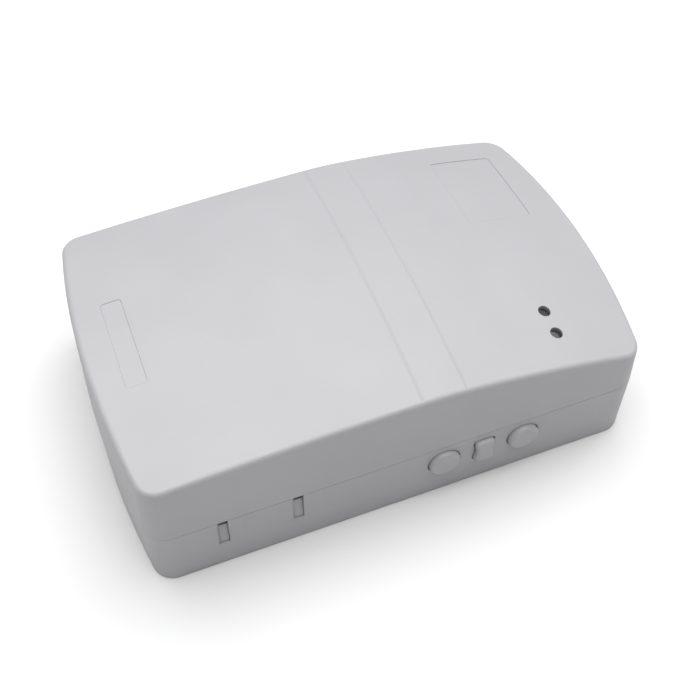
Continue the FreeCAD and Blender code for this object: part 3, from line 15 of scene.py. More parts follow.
import bmesh
import bpy
from mathutils import Euler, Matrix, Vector


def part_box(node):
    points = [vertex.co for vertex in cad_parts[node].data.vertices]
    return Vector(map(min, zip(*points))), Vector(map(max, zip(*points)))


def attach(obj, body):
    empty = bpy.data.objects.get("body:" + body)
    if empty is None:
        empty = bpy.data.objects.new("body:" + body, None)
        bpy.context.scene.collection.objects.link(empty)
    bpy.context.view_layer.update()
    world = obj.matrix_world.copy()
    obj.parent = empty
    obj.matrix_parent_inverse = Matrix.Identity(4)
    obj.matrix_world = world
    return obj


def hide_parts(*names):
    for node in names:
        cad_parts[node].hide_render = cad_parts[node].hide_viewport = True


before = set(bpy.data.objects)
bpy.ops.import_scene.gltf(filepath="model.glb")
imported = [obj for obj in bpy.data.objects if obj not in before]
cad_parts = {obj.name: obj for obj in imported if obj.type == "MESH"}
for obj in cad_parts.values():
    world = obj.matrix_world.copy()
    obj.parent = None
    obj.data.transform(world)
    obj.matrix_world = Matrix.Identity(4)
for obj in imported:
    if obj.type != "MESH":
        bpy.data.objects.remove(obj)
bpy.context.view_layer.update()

logging.basicConfig(level=logging.INFO, format="%(message)s", stream=sys.stdout)
LOG = logging.getLogger("panel")

Mesh = bpy.types.Mesh
Node = bpy.types.Node
Socket = bpy.types.NodeSocket
Tree = bpy.types.NodeTree
Amount = float | int | Socket
Inputs = dict[str | int, object] | tuple

# A millimetre, and the distance under which two points are one, in metres
MM = 0.001
WELD = 2e-6
# The sRGB curve: slope of its straight foot, the foot's end, the offset and power above it
SRGB_FOOT, SRGB_KNEE, SRGB_OFFSET, SRGB_POWER = 12.92, 0.04045, 0.055, 2.4
# Largest angle in degrees between a packed and an exact normal, on a face that lies on
# the ruled surface and on one that only meets it
FACE_TURN = 45.0
MEETING_TURN = 8.0
# How many finer layers a noise carries
SMOOTH, SOFT, FINE, CRISP = 2.0, 3.0, 4.0, 5.0
# The part of a noise's values that a pattern is stretched from: the narrow one stands out more
WIDE = (0.3, 0.7)
NARROW = (0.35, 0.65)
# Half of a length, and half way from 0 to 1, where a factor tips over to its other side
HALF = 0.5
# How many rays look for the edges that a normal is softened by
EDGE_SAMPLES = 6
NODE_FAMILIES = ("ShaderNode", "GeometryNode", "FunctionNode")


class Body(Enum):
    """The moving bodies that pieces ride on."""

    PANEL = "panel"
    UP_BUTTON = "up_button"
    STOP_BUTTON = "stop_button"
    DOWN_BUTTON = "down_button"
    LID = "lid"


class Axis(Enum):
    """The frame's three axes."""

    X = "X"
    Y = "Y"
    Z = "Z"


# Colours and nodes


def linear(hex_colour: str) -> tuple[float, float, float, float]:
    """Turn an sRGB hex colour into linear red, green, blue and alpha.

    Args:
        hex_colour: Six hex digits, such as "C8C8CB".

    Returns:
        The linear colour, fully opaque.
    """
    levels = [int(hex_colour[start:start + 2], 16) / 255 for start in (0, 2, 4)]
    red, green, blue = (
        level / SRGB_FOOT
        if level <= SRGB_KNEE
        else ((level + SRGB_OFFSET) / (1 + SRGB_OFFSET)) ** SRGB_POWER
        for level in levels
    )
    return red, green, blue, 1.0


def feed(node: Node, inputs: Inputs) -> None:
    """Set or link a node's inputs.

    Args:
        node: The node.
        inputs: A value, a socket or a list of sockets for each input, by the inputs' names or
            in the order of those in use.
    """
    if isinstance(inputs, dict):
        pairs = [(node.inputs[name], value) for name, value in inputs.items()]
    else:
        pairs = zip([port for port in node.inputs if not port.is_unavailable], inputs)
    for port, value in pairs:
        sources = value if isinstance(value, list) else [value]
        if isinstance(sources[0], Socket):
            for source in sources:
                node.id_data.links.new(source, port)
        else:
            port.default_value = value


def add_node(
    tree: Tree, kind: str, inputs: Inputs = (), out: str = "", **settings: object
) -> Socket:
    """Add one node with its settings, its fixed inputs and its links.

    Args:
        tree: The node tree that gets the node.
        kind: The node's type without its family, such as "Math" or "MeshLine".
        inputs: What its inputs take; see feed.
        out: The wanted output's name, where it isn't the first in use.
        **settings: Values for the node's own properties.

    Returns:
        The wanted output, whose node holds the others.
    """
    family = next(family for family in NODE_FAMILIES if hasattr(bpy.types, family + kind))
    node = tree.nodes.new(family + kind)
    for name, value in settings.items():
        setattr(node, name, value)
    feed(node, inputs)
    if out:
        return node.outputs[out]
    return next(port for port in node.outputs if not port.is_unavailable)


# Finishes


@dataclass(frozen=True)
class Finish:
    """One real material and the process that gave it its surface.

    Attributes:
        name: The Blender material's name.
        slot: The record's material slot, empty for the stage.
        colour: Base colour as sRGB hex.
        roughness: Shader roughness of the clean surface.
        edge: Radius in metres that the moulded or rolled edges seem rounded by.
    """

    name: str
    slot: str
    colour: str
    roughness: float
    edge: float = 0.15 * MM

    def material(self) -> bpy.types.Material:
        """Make this finish's material, or give back the one already made.

        Returns:
            The material.
        """
        made = bpy.data.materials.get(self.name)
        if made is not None:
            return made
        made = bpy.data.materials.new(self.name)
        made.use_nodes = True
        tree = made.node_tree
        shader = next(node for node in tree.nodes if node.type == "BSDF_PRINCIPLED")
        feed(shader, {"Base Color": linear(self.colour), "Roughness": self.roughness})
        feed(shader, self.shade(tree, add_node(tree, "TexCoord", out="Object")))
        return made

    def shade(self, tree: Tree, place: Socket) -> dict[str, object]:
        """Work out what the shader takes on this kind of surface; a plain one adds nothing.

        Args:
            tree: The material's node tree.
            place: The object coordinates, in metres.

        Returns:
            Values and sockets by the names of the principled shader's inputs.
        """
        return {}

    def rounded(self, tree: Tree) -> Socket:
        """Give the surface's normal, its edges softened by the finish's edge radius."""
        return add_node(tree, "Bevel", {"Radius": self.edge}, samples=EDGE_SAMPLES)


@dataclass(frozen=True)
class MouldedPlastic(Finish):
    """Injection-moulded plastic from a spark-eroded tool.

    Attributes:
        grain: Size of the tool's texture, in metres.
        relief: Height of that texture, in metres.
        density: How strong the texture's finer layers are.
        wander: How far the roughness wanders with the texture.
        mottle: Share by which the colour wanders.
        flow: Size of the clouds that it wanders in, in metres.
        ior: Index of refraction of the resin.
    """

    grain: float = 0.35 * MM
    relief: float = 0.006 * MM
    density: float = 0.6
    wander: float = 0.05
    mottle: float = 0.02
    flow: float = 26 * MM
    ior: float = 1.53

    def shade(self, tree: Tree, place: Socket) -> dict[str, object]:
        """See Finish.shade."""
        flow = add_node(tree, "TexNoise", {"Vector": place, "Scale": 1 / self.flow, "Detail": SOFT})
        shift = add_node(tree, "MapRange", (flow, *WIDE, 1 - self.mottle, 1 + self.mottle))
        grain = add_node(
            tree,
            "TexNoise",
            {"Vector": place, "Scale": 1 / self.grain, "Detail": FINE, "Roughness": self.density},
        )
        limits = (self.roughness - self.wander, self.roughness + self.wander)
        relief = {"Distance": self.relief, "Height": grain, "Normal": self.rounded(tree)}
        plain = linear(self.colour)[:3]
        return {
            "IOR": self.ior,
            "Base Color": add_node(tree, "VectorMath", (plain, shift), operation="SCALE"),
            "Roughness": add_node(tree, "MapRange", (grain, *NARROW, *limits)),
            "Normal": add_node(tree, "Bump", relief),
        }


# Light-grey ABS from a fine spark-eroded tool: the even, nearly matt grey of the case
CASE_ABS = MouldedPlastic("moulded_grey_abs", "case_plastic", "AAA9AC", 0.52, edge=0.25 * MM)
# The same resin from a polished insert: the caps look a shade smoother and darker
BUTTON_ABS = MouldedPlastic(
    "polished_grey_abs", "button_plastic", "A8A8AA", 0.42, relief=0.003 * MM
)
# Black glass-filled polyester: the satin black of the key switches
SWITCH_PBT = MouldedPlastic(
    "moulded_black_polyester", "switch_plastic", "1E1E20", 0.46, grain=0.5 * MM
)
# Natural nylon: the creamy, slightly waxy bobbin
BOBBIN_NYLON = MouldedPlastic(
    "moulded_natural_nylon", "bobbin_plastic", "D8D2C0", 0.48, mottle=0.04
)
# Glossy blue polyester from a polished tool: the relays' clean, shiny covers
RELAY_COVER = MouldedPlastic(
    "polished_blue_polyester", "relay_plastic", "1F4C92", 0.26, relief=0.002 * MM
)
# Green flame-safe nylon: the satin strips of the screw terminals
TERMINAL_NYLON = MouldedPlastic(
    "moulded_green_nylon", "terminal_plastic", "2F8C55", 0.40, mottle=0.03
)
# Transfer-moulded epoxy with glass powder: the dry, speckled black of chips and rectifiers
PACKAGE_EPOXY = MouldedPlastic(
    "transfer_moulded_epoxy", "black_epoxy", "18181A", 0.62, grain=0.22 * MM, relief=0.014 * MM
)
# Dipped epoxy lacquer: the thick, wet blue skin of the suppressor disc
DIPPED_LACQUER = MouldedPlastic(
    "dipped_blue_lacquer",
    "suppressor_lacquer",
    "1D5AA8",
    0.16,
    edge=0.6 * MM,
    grain=2.5 * MM,
    relief=0.08 * MM,
)
# Extruded PVC: the aerial wire's smooth red cover
WIRE_PVC = MouldedPlastic("extruded_red_pvc", "wire_insulation", "B9231C", 0.34, grain=1.2 * MM)
# White epoxy ink from a screen: thin matt outlines round the larger board parts
BOARD_INK = MouldedPlastic(
    "screened_epoxy_ink", "circuit_board", "E6E6E0", 0.7, grain=0.3 * MM
)


@dataclass(frozen=True)
class Rubber(Finish):
    """Press-moulded rubber with a pale bloom where it was handled.

    Attributes:
        bloom: The bloom's colour.
        cloud: Size of its patches, in metres.
        onset: Values of the clouds over which it comes in.
        share: Its largest share.
        wander: How much smoother the rubber gets between the patches.
    """

    bloom: str = "3A3A3B"
    cloud: float = 3 * MM
    onset: tuple[float, float] = (0.45, 0.7)
    share: float = 0.6
    wander: float = 0.1

    def shade(self, tree: Tree, place: Socket) -> dict[str, object]:
        """See Finish.shade."""
        cloud = add_node(
            tree, "TexNoise", {"Vector": place, "Scale": 1 / self.cloud, "Detail": CRISP}
        )
        patch = add_node(tree, "MapRange", (cloud, *self.onset, 0.0, self.share))
        colours = (patch, linear(self.colour), linear(self.bloom))
        limits = (self.roughness - self.wander, self.roughness)
        return {
            "Base Color": add_node(tree, "Mix", colours, data_type="RGBA"),
            "Roughness": add_node(tree, "MapRange", (cloud, *WIDE, *limits)),
            "Normal": self.rounded(tree),
        }


# Press-moulded EPDM: the dull black rings in the cable entries
GROMMET_EPDM = Rubber("press_moulded_epdm", "grommet_rubber", "202021", 0.82)


@dataclass(frozen=True)
class Metal(Finish):
    """Plated metal with the faint clouds and rub marks of bulk handling.

    Attributes:
        tint: The second colour that the plating wanders to.
        cloud: Size of the clouds, in metres.
        rub: How much rougher the rubbed places are.
    """

    tint: str = "B4B2AA"
    cloud: float = 1.6 * MM
    rub: float = 0.12

    def shade(self, tree: Tree, place: Socket) -> dict[str, object]:
        """See Finish.shade."""
        clouds = add_node(
            tree, "TexNoise", {"Vector": place, "Scale": 1 / self.cloud, "Detail": FINE}
        )
        share = add_node(tree, "MapRange", (clouds, *NARROW, 0.0, 1.0))
        colours = (share, linear(self.colour), linear(self.tint))
        limits = (self.roughness, self.roughness + self.rub)
        return {
            "Metallic": 1.0,
            "Base Color": add_node(tree, "Mix", colours, data_type="RGBA"),
            "Roughness": add_node(tree, "MapRange", (clouds, *WIDE, *limits)),
            "Normal": self.rounded(tree),
        }


# Hot-tinned steel: the soft white shine of cans, brackets, legs and the regulator's tab
TINNED_STEEL = Metal(
    "hot_tinned_steel", "plated_steel", "CFCFCB", 0.28, tint="C3C2BC", edge=0.08 * MM
)
# Zinc plating with a clear blue passivation: cool grey screws with a trace of yellow
ZINC_STEEL = Metal(
    "blue_passivated_zinc", "screw_steel", "BFC4C9", 0.30, tint="CFC9AE", edge=0.1 * MM
)


@dataclass(frozen=True)
class VarnishedSteel(Metal):
    """Stamped silicon steel plates dipped in dark varnish, bare where they were ground.

    Attributes:
        varnish: Share of the surface that the varnish covers.
        gloss: The varnish's roughness.
    """

    varnish: float = 0.5
    gloss: float = 0.25

    def shade(self, tree: Tree, place: Socket) -> dict[str, object]:
        """See Finish.shade."""
        coat = {"Coat Weight": self.varnish, "Coat Roughness": self.gloss}
        return super().shade(tree, place) | coat


# Silicon steel under brown-black varnish: the dark, faintly glossy edges of the core's plates
CORE_STEEL = VarnishedSteel(
    "varnished_silicon_steel", "core_steel", "5A5652", 0.42, tint="4A4643", edge=0.05 * MM
)


@dataclass(frozen=True)
class CoilTape(Finish):
    """Yellow polyester tape drawn tight over copper wire.

    Attributes:
        wire: Distance from one turn of wire to the next, in metres.
        copper: The wire's colour through the tape.
        show: How much of it shows between two turns.
        wrinkle: Size of the tape's wrinkles, in metres.
        ridge: Height of the turns against that of the wrinkles.
        relief: Height of the wrinkles, in metres.
        film: Share of the surface that the clear film covers.
        gloss: The film's roughness.
    """

    wire: float = 0.9 * MM
    copper: str = "B5792A"
    show: float = 0.35
    wrinkle: float = 4 * MM
    ridge: float = 0.4
    relief: float = 0.12 * MM
    film: float = 0.6
    gloss: float = 0.12

    def shade(self, tree: Tree, place: Socket) -> dict[str, object]:
        """See Finish.shade."""
        up = add_node(tree, "SeparateXYZ", (place,), out="Z")
        wave = add_node(tree, "Math", (up, self.wire / 2), operation="PINGPONG")
        turns = add_node(tree, "Math", (wave, self.wire / 2), operation="DIVIDE")
        bare = add_node(tree, "MapRange", (turns, 0.0, HALF, self.show, 0.0))
        colours = (bare, linear(self.colour), linear(self.copper))
        wrinkles = add_node(
            tree, "TexNoise", {"Vector": place, "Scale": 1 / self.wrinkle, "Detail": SOFT}
        )
        ridges = add_node(tree, "Math", (turns, self.ridge), operation="MULTIPLY")
        height = add_node(tree, "Math", (ridges, wrinkles), operation="ADD")
        relief = {"Distance": self.relief, "Height": height, "Normal": self.rounded(tree)}
        return {
            "Coat Weight": self.film,
            "Coat Roughness": self.gloss,
            "Base Color": add_node(tree, "Mix", colours, data_type="RGBA"),
            "Normal": add_node(tree, "Bump", relief),
        }


# Polyester tape over enamelled copper, its 0.3 mm turns drawn three times as coarse to show
WINDING_TAPE = CoilTape("taped_copper_winding", "coil_tape", "D3A021", 0.32, edge=0.4 * MM)


@dataclass(frozen=True)
class SolderMask(Finish):
    """Glass-epoxy board with copper tracks under a green solder mask.

    Attributes:
        track: The mask's colour over copper.
        laminate: The bare board's colour at its cut edges.
        pitch: Distance from one track to the next, in metres.
        flank: Share of a track's pitch where its side begins and ends.
        cell: Size of the areas that the tracks run one way in, in metres.
        scatter: How unevenly those areas lie.
        pour: Share of the areas that have tracks in place of solid copper.
        copper: Height of the copper, in metres.
        cut: Roughness of the cut edges.
        across: The two axes that the board lies along.
        through: The axis through its thickness.
    """

    track: str = "2F8048"
    laminate: str = "BFAE78"
    pitch: float = 1.27 * MM
    flank: tuple[float, float] = (0.5, 0.58)
    cell: float = 8 * MM
    scatter: float = 0.6
    pour: float = 0.68
    copper: float = 0.035 * MM
    cut: float = 0.75
    across: tuple[Axis, Axis] = (Axis.X, Axis.Y)
    through: Axis = Axis.Z

    def shade(self, tree: Tree, place: Socket) -> dict[str, object]:
        """See Finish.shade."""
        cells = {"Vector": place, "Scale": 1 / self.cell, "Randomness": self.scatter}
        area = add_node(tree, "TexVoronoi", cells, out="Color", distance="CHEBYCHEV")
        choice = add_node(tree, "SeparateColor", (area,)).node.outputs
        along = add_node(tree, "SeparateXYZ", (place,)).node.outputs
        runs = []
        for axis in self.across:
            wave = add_node(
                tree, "Math", (along[axis.value], self.pitch / 2), operation="PINGPONG"
            )
            share = add_node(tree, "Math", (wave, self.pitch / 2), operation="DIVIDE")
            runs.append(add_node(tree, "MapRange", (share, *self.flank, 0.0, 1.0)))
        crosswise = add_node(tree, "Math", (choice["Red"], HALF), operation="GREATER_THAN")
        tracks = add_node(tree, "Mix", (crosswise, *runs), data_type="FLOAT")
        pour = add_node(tree, "Math", (choice["Green"], self.pour), operation="GREATER_THAN")
        copper = add_node(tree, "Math", (tracks, pour), operation="MAXIMUM")
        colours = (copper, linear(self.colour), linear(self.track))
        mask = add_node(tree, "Mix", colours, data_type="RGBA")
        facing = add_node(tree, "NewGeometry", out="Normal")
        side = add_node(tree, "SeparateXYZ", (facing,), out=self.through.value)
        level = add_node(tree, "Math", (side,), operation="ABSOLUTE")
        flat = add_node(tree, "Math", (level, HALF), operation="GREATER_THAN")
        surfaces = (flat, linear(self.laminate), mask)
        return {
            "Base Color": add_node(tree, "Mix", surfaces, data_type="RGBA"),
            "Roughness": add_node(tree, "MapRange", (flat, 0.0, 1.0, self.cut, self.roughness)),
            "Normal": add_node(tree, "Bump", {"Distance": self.copper, "Height": copper}),
        }


# FR-4 laminate with a cured green mask: tracks and pours show as a paler, raised green
BOARD_FR4 = SolderMask("solder_masked_fr4", "circuit_board", "17552C", 0.28)
# The same laminate stood on edge for the receiver
RADIO_FR4 = SolderMask(
    "upright_solder_masked_fr4",
    "circuit_board",
    "17552C",
    0.28,
    across=(Axis.X, Axis.Z),
    through=Axis.Y,
)


@dataclass(frozen=True)
class SleevedCan(Finish):
    """Aluminium can in a shrunk PVC sleeve with a pale stripe, its top bare and scored.

    Attributes:
        axis: Place of the first can's axis across the board, in metres.
        spacing: Distance from one can to the next along X, in metres; a whole metre for one can.
        bare: Radius of the top's bare disc, in metres.
        top: Height just under the can's top, in metres.
        metal: The bare disc's colour.
        brushed: The bare disc's roughness.
        stripe: The stripe's colour.
        width: Angles from the stripe's middle where it starts to fade and is gone, in radians.
        score: Half widths of the scored cross at its foot and at its rim, in metres.
        depth: Depth of the cross, in metres.
    """

    axis: tuple[float, float] = (0.0, 0.0)
    spacing: float = 1.0
    bare: float = 1.0 * MM
    top: float = 1.0
    metal: str = "C4C6C8"
    brushed: float = 0.38
    stripe: str = "9AA0A6"
    width: tuple[float, float] = (0.42, 0.46)
    score: tuple[float, float] = (0.1 * MM, 0.3 * MM)
    depth: float = 0.2 * MM

    def shade(self, tree: Tree, place: Socket) -> dict[str, object]:
        """See Finish.shade."""
        along = add_node(tree, "SeparateXYZ", (place,)).node.outputs
        shifted = add_node(tree, "Math", (along["X"], self.axis[0]), operation="SUBTRACT")
        across = add_node(
            tree, "Math", (shifted, self.spacing / 2, -self.spacing / 2), operation="WRAP"
        )
        depth = add_node(tree, "Math", (along["Y"], self.axis[1]), operation="SUBTRACT")
        squares = tuple(
            add_node(tree, "Math", (way, 2.0), operation="POWER") for way in (across, depth)
        )
        square = add_node(tree, "Math", squares, operation="ADD")
        reach = add_node(tree, "Math", (square,), operation="SQRT")
        inside = add_node(tree, "Math", (reach, self.bare), operation="LESS_THAN")
        above = add_node(tree, "Math", (along["Z"], self.top), operation="GREATER_THAN")
        disc = add_node(tree, "Math", (above, inside), operation="MULTIPLY")
        turn = add_node(tree, "Math", (depth, across), operation="ARCTAN2")
        angle = add_node(tree, "Math", (turn,), operation="ABSOLUTE")
        stripe = add_node(tree, "MapRange", (angle, *self.width, 1.0, 0.0))
        sides = (stripe, linear(self.colour), linear(self.stripe))
        sleeve = add_node(tree, "Mix", sides, data_type="RGBA")
        arms = tuple(
            add_node(tree, "Math", (way,), operation="ABSOLUTE") for way in (across, depth)
        )
        nearest = add_node(tree, "Math", arms, operation="MINIMUM")
        cross = add_node(tree, "MapRange", (nearest, *self.score, -1.0, 0.0))
        groove = add_node(tree, "Math", (disc, cross), operation="MULTIPLY")
        relief = {"Distance": self.depth, "Height": groove, "Normal": self.rounded(tree)}
        surfaces = (disc, sleeve, linear(self.metal))
        limits = (self.roughness, self.brushed)
        return {
            "Base Color": add_node(tree, "Mix", surfaces, data_type="RGBA"),
            "Metallic": disc,
            "Roughness": add_node(tree, "MapRange", (disc, 0.0, 1.0, *limits)),
            "Normal": add_node(tree, "Bump", relief),
        }


# Shrunk PVC over deep-drawn aluminium: shiny blue-black cans with scored silver tops
RESERVOIR_CAN = SleevedCan(
    "sleeved_reservoir_can",
    "capacitor_sleeve",
    "141B33",
    0.22,
    axis=(-6.0 * MM, -27.8 * MM),
    bare=4.1 * MM,
    top=31.3 * MM,
)
BYPASS_CAN = SleevedCan(
    "sleeved_bypass_can",
    "capacitor_sleeve",
    "141B33",
    0.22,
    axis=(4.0 * MM, -27.8 * MM),
    spacing=8.6 * MM,
    bare=2.5 * MM,
    top=22.4 * MM,
)


@dataclass(frozen=True)
class BandedCeramic(Finish):
    """Lacquered resistor body with colour bands, placed by its own "along" attribute.

    Attributes:
        bands: For each band, its place along the body from -1 to 1 and its colour.
        width: Half a band's width on the same scale.
        tint: The second colour that the lacquer wanders to.
        cloud: Size of its clouds, in metres.
        lacquer: Share of the surface under clear lacquer.
    """

    bands: tuple[tuple[float, str], ...] = (
        (-0.62, "7A3A1A"),
        (-0.32, "141414"),
        (-0.02, "C9661A"),
        (0.58, "B8912F"),
    )
    width: float = 0.075
    tint: str = "C7AE86"
    cloud: float = 1.5 * MM
    lacquer: float = 0.5

    def shade(self, tree: Tree, place: Socket) -> dict[str, object]:
        """See Finish.shade."""
        along = add_node(tree, "Attribute", out="Fac", attribute_name="along")
        cloud = add_node(
            tree, "TexNoise", {"Vector": place, "Scale": 1 / self.cloud, "Detail": SMOOTH}
        )
        colours = (cloud, linear(self.colour), linear(self.tint))
        colour = add_node(tree, "Mix", colours, data_type="RGBA")
        for middle, band in self.bands:
            shift = add_node(tree, "Math", (along, middle), operation="SUBTRACT")
            away = add_node(tree, "Math", (shift,), operation="ABSOLUTE")
            inside = add_node(tree, "Math", (away, self.width), operation="LESS_THAN")
            colour = add_node(tree, "Mix", (inside, colour, linear(band)), data_type="RGBA")
        return {"Coat Weight": self.lacquer, "Base Color": colour}


# Lacquered carbon film on ceramic: small tan barrels with glossy colour rings
RESISTOR_BODY = BandedCeramic("lacquered_film_resistor", "suppressor_lacquer", "D2BC96", 0.3)


@dataclass(frozen=True)
class SmokedClear(Finish):
    """Clear glass or polymer with a tint.

    Attributes:
        ior: Index of refraction.
        clear: Share of light that passes into it.
        cloud: Size of its hazy clouds, in metres.
        haze: How much rougher they are.
    """

    ior: float = 1.585
    clear: float = 0.9
    cloud: float = 2 * MM
    haze: float = 0.06

    def shade(self, tree: Tree, place: Socket) -> dict[str, object]:
        """See Finish.shade."""
        cloud = add_node(
            tree, "TexNoise", {"Vector": place, "Scale": 1 / self.cloud, "Detail": SMOOTH}
        )
        limits = (self.roughness, self.roughness + self.haze)
        return {
            "IOR": self.ior,
            "Transmission Weight": self.clear,
            "Roughness": add_node(tree, "MapRange", (cloud, *WIDE, *limits)),
            "Normal": self.rounded(tree),
        }


# Smoke-tinted polycarbonate rod: dark in the lid's holes, with a small wet highlight
LIGHT_PIPE = SmokedClear("smoked_polycarbonate", "clear_plastic", "4A4A4E", 0.12, clear=0.55)
# Drawn soda glass: the clear barrel of the fuse
FUSE_GLASS = SmokedClear("drawn_soda_glass", "fuse_glass", "F0F5F2", 0.02, ior=1.5, clear=1.0)


@dataclass(frozen=True)
class LampEpoxy(SmokedClear):
    """Cast epoxy lamps, tinted in two colours.

    Attributes:
        other: The back lamp's colour.
        middle: Where along Y the two lamps part, in metres.
    """

    other: str = "2C9A3C"
    middle: float = -33.45 * MM

    def shade(self, tree: Tree, place: Socket) -> dict[str, object]:
        """See Finish.shade."""
        depth = add_node(tree, "SeparateXYZ", (place,), out="Y")
        back = add_node(tree, "Math", (depth, self.middle), operation="GREATER_THAN")
        colours = (back, linear(self.colour), linear(self.other))
        tint = {"Base Color": add_node(tree, "Mix", colours, data_type="RGBA")}
        return super().shade(tree, place) | tint


# Cast tinted epoxy: one red and one green lamp, glowing a little at the edges
STATUS_EPOXY = LampEpoxy("cast_tinted_epoxy", "lamp_epoxy", "C8281E", 0.1, ior=1.55, clear=0.5)
# Uncoated white paper: the plain pale ground, which throws soft light back at the walls
GROUND_PAPER = Finish("matt_white_paper", "", "E0E0E0", 0.9)


# Copies of CAD meshes


def node_mesh(node: str, exact: Callable[[Vector], Vector | None] | None = None) -> Mesh:
    """Copy a CAD node's mesh, its loose triangles joined and its true normals kept.

    A face that lies on a ruled surface takes that surface's exact normals at all its
    corners. A face that only meets it takes one where it runs on smoothly, so a groove's
    slopes keep their own.

    Args:
        node: The CAD node's name.
        exact: Gives the ruled surface's normal at a place, or None off the surface.

    Returns:
        The joined mesh.
    """
    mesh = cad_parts[node].data.copy()
    mesh.name = node + "_joined"
    kept = mesh.attributes.new("kept_normal", "FLOAT_VECTOR", "CORNER")
    levels = [level for corner in mesh.corner_normals for level in corner.vector]
    kept.data.foreach_set("vector", levels)
    shape = bmesh.new()
    shape.from_mesh(mesh)
    bmesh.ops.remove_doubles(shape, verts=shape.verts, dist=WELD)
    shape.to_mesh(mesh)
    shape.free()
    kept = mesh.attributes["kept_normal"]
    normals = [Vector(corner.vector) for corner in kept.data]
    for face in mesh.polygons if exact is not None else ():
        found = [exact(mesh.vertices[corner].co) for corner in face.vertices]
        least = math.cos(math.radians(MEETING_TURN if None in found else FACE_TURN))
        for index, normal in zip(face.loop_indices, found):
            if normal is not None and normal.dot(normals[index]) > least:
                normals[index] = normal
    mesh.attributes.remove(kept)
    mesh.shade_smooth()
    mesh.normals_split_custom_set(normals)
    return mesh


def add_piece(name: str, mesh: Mesh, body: Body, finish: Finish, *nodes: str) -> None:
    """Put one finished mesh in the scene on its body.

    Args:
        name: The piece's name.
        mesh: Its mesh, in the frame's own place.
        body: The CAD body that it moves with.
        finish: Its finish.
        *nodes: The CAD nodes that it stands for.
    """
    piece = bpy.data.objects.new(name, mesh)
    bpy.context.scene.collection.objects.link(piece)
    mesh.materials.clear()
    mesh.materials.append(finish.material())
    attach(piece, body.value)
    if nodes:
        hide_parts(*nodes)
    LOG.info("%s on %s: %d faces", name, body.value, len(mesh.polygons))


def dress(finish: Finish, *nodes: str) -> None:
    """Give CAD nodes a finish in place of their packed colours.

    Args:
        finish: The finish.
        *nodes: The nodes' names.
    """
    for node in nodes:
        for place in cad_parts[node].material_slots:
            place.material = finish.material()
        LOG.info("%s dressed as %s", node, finish.name)


# Shapes by rule


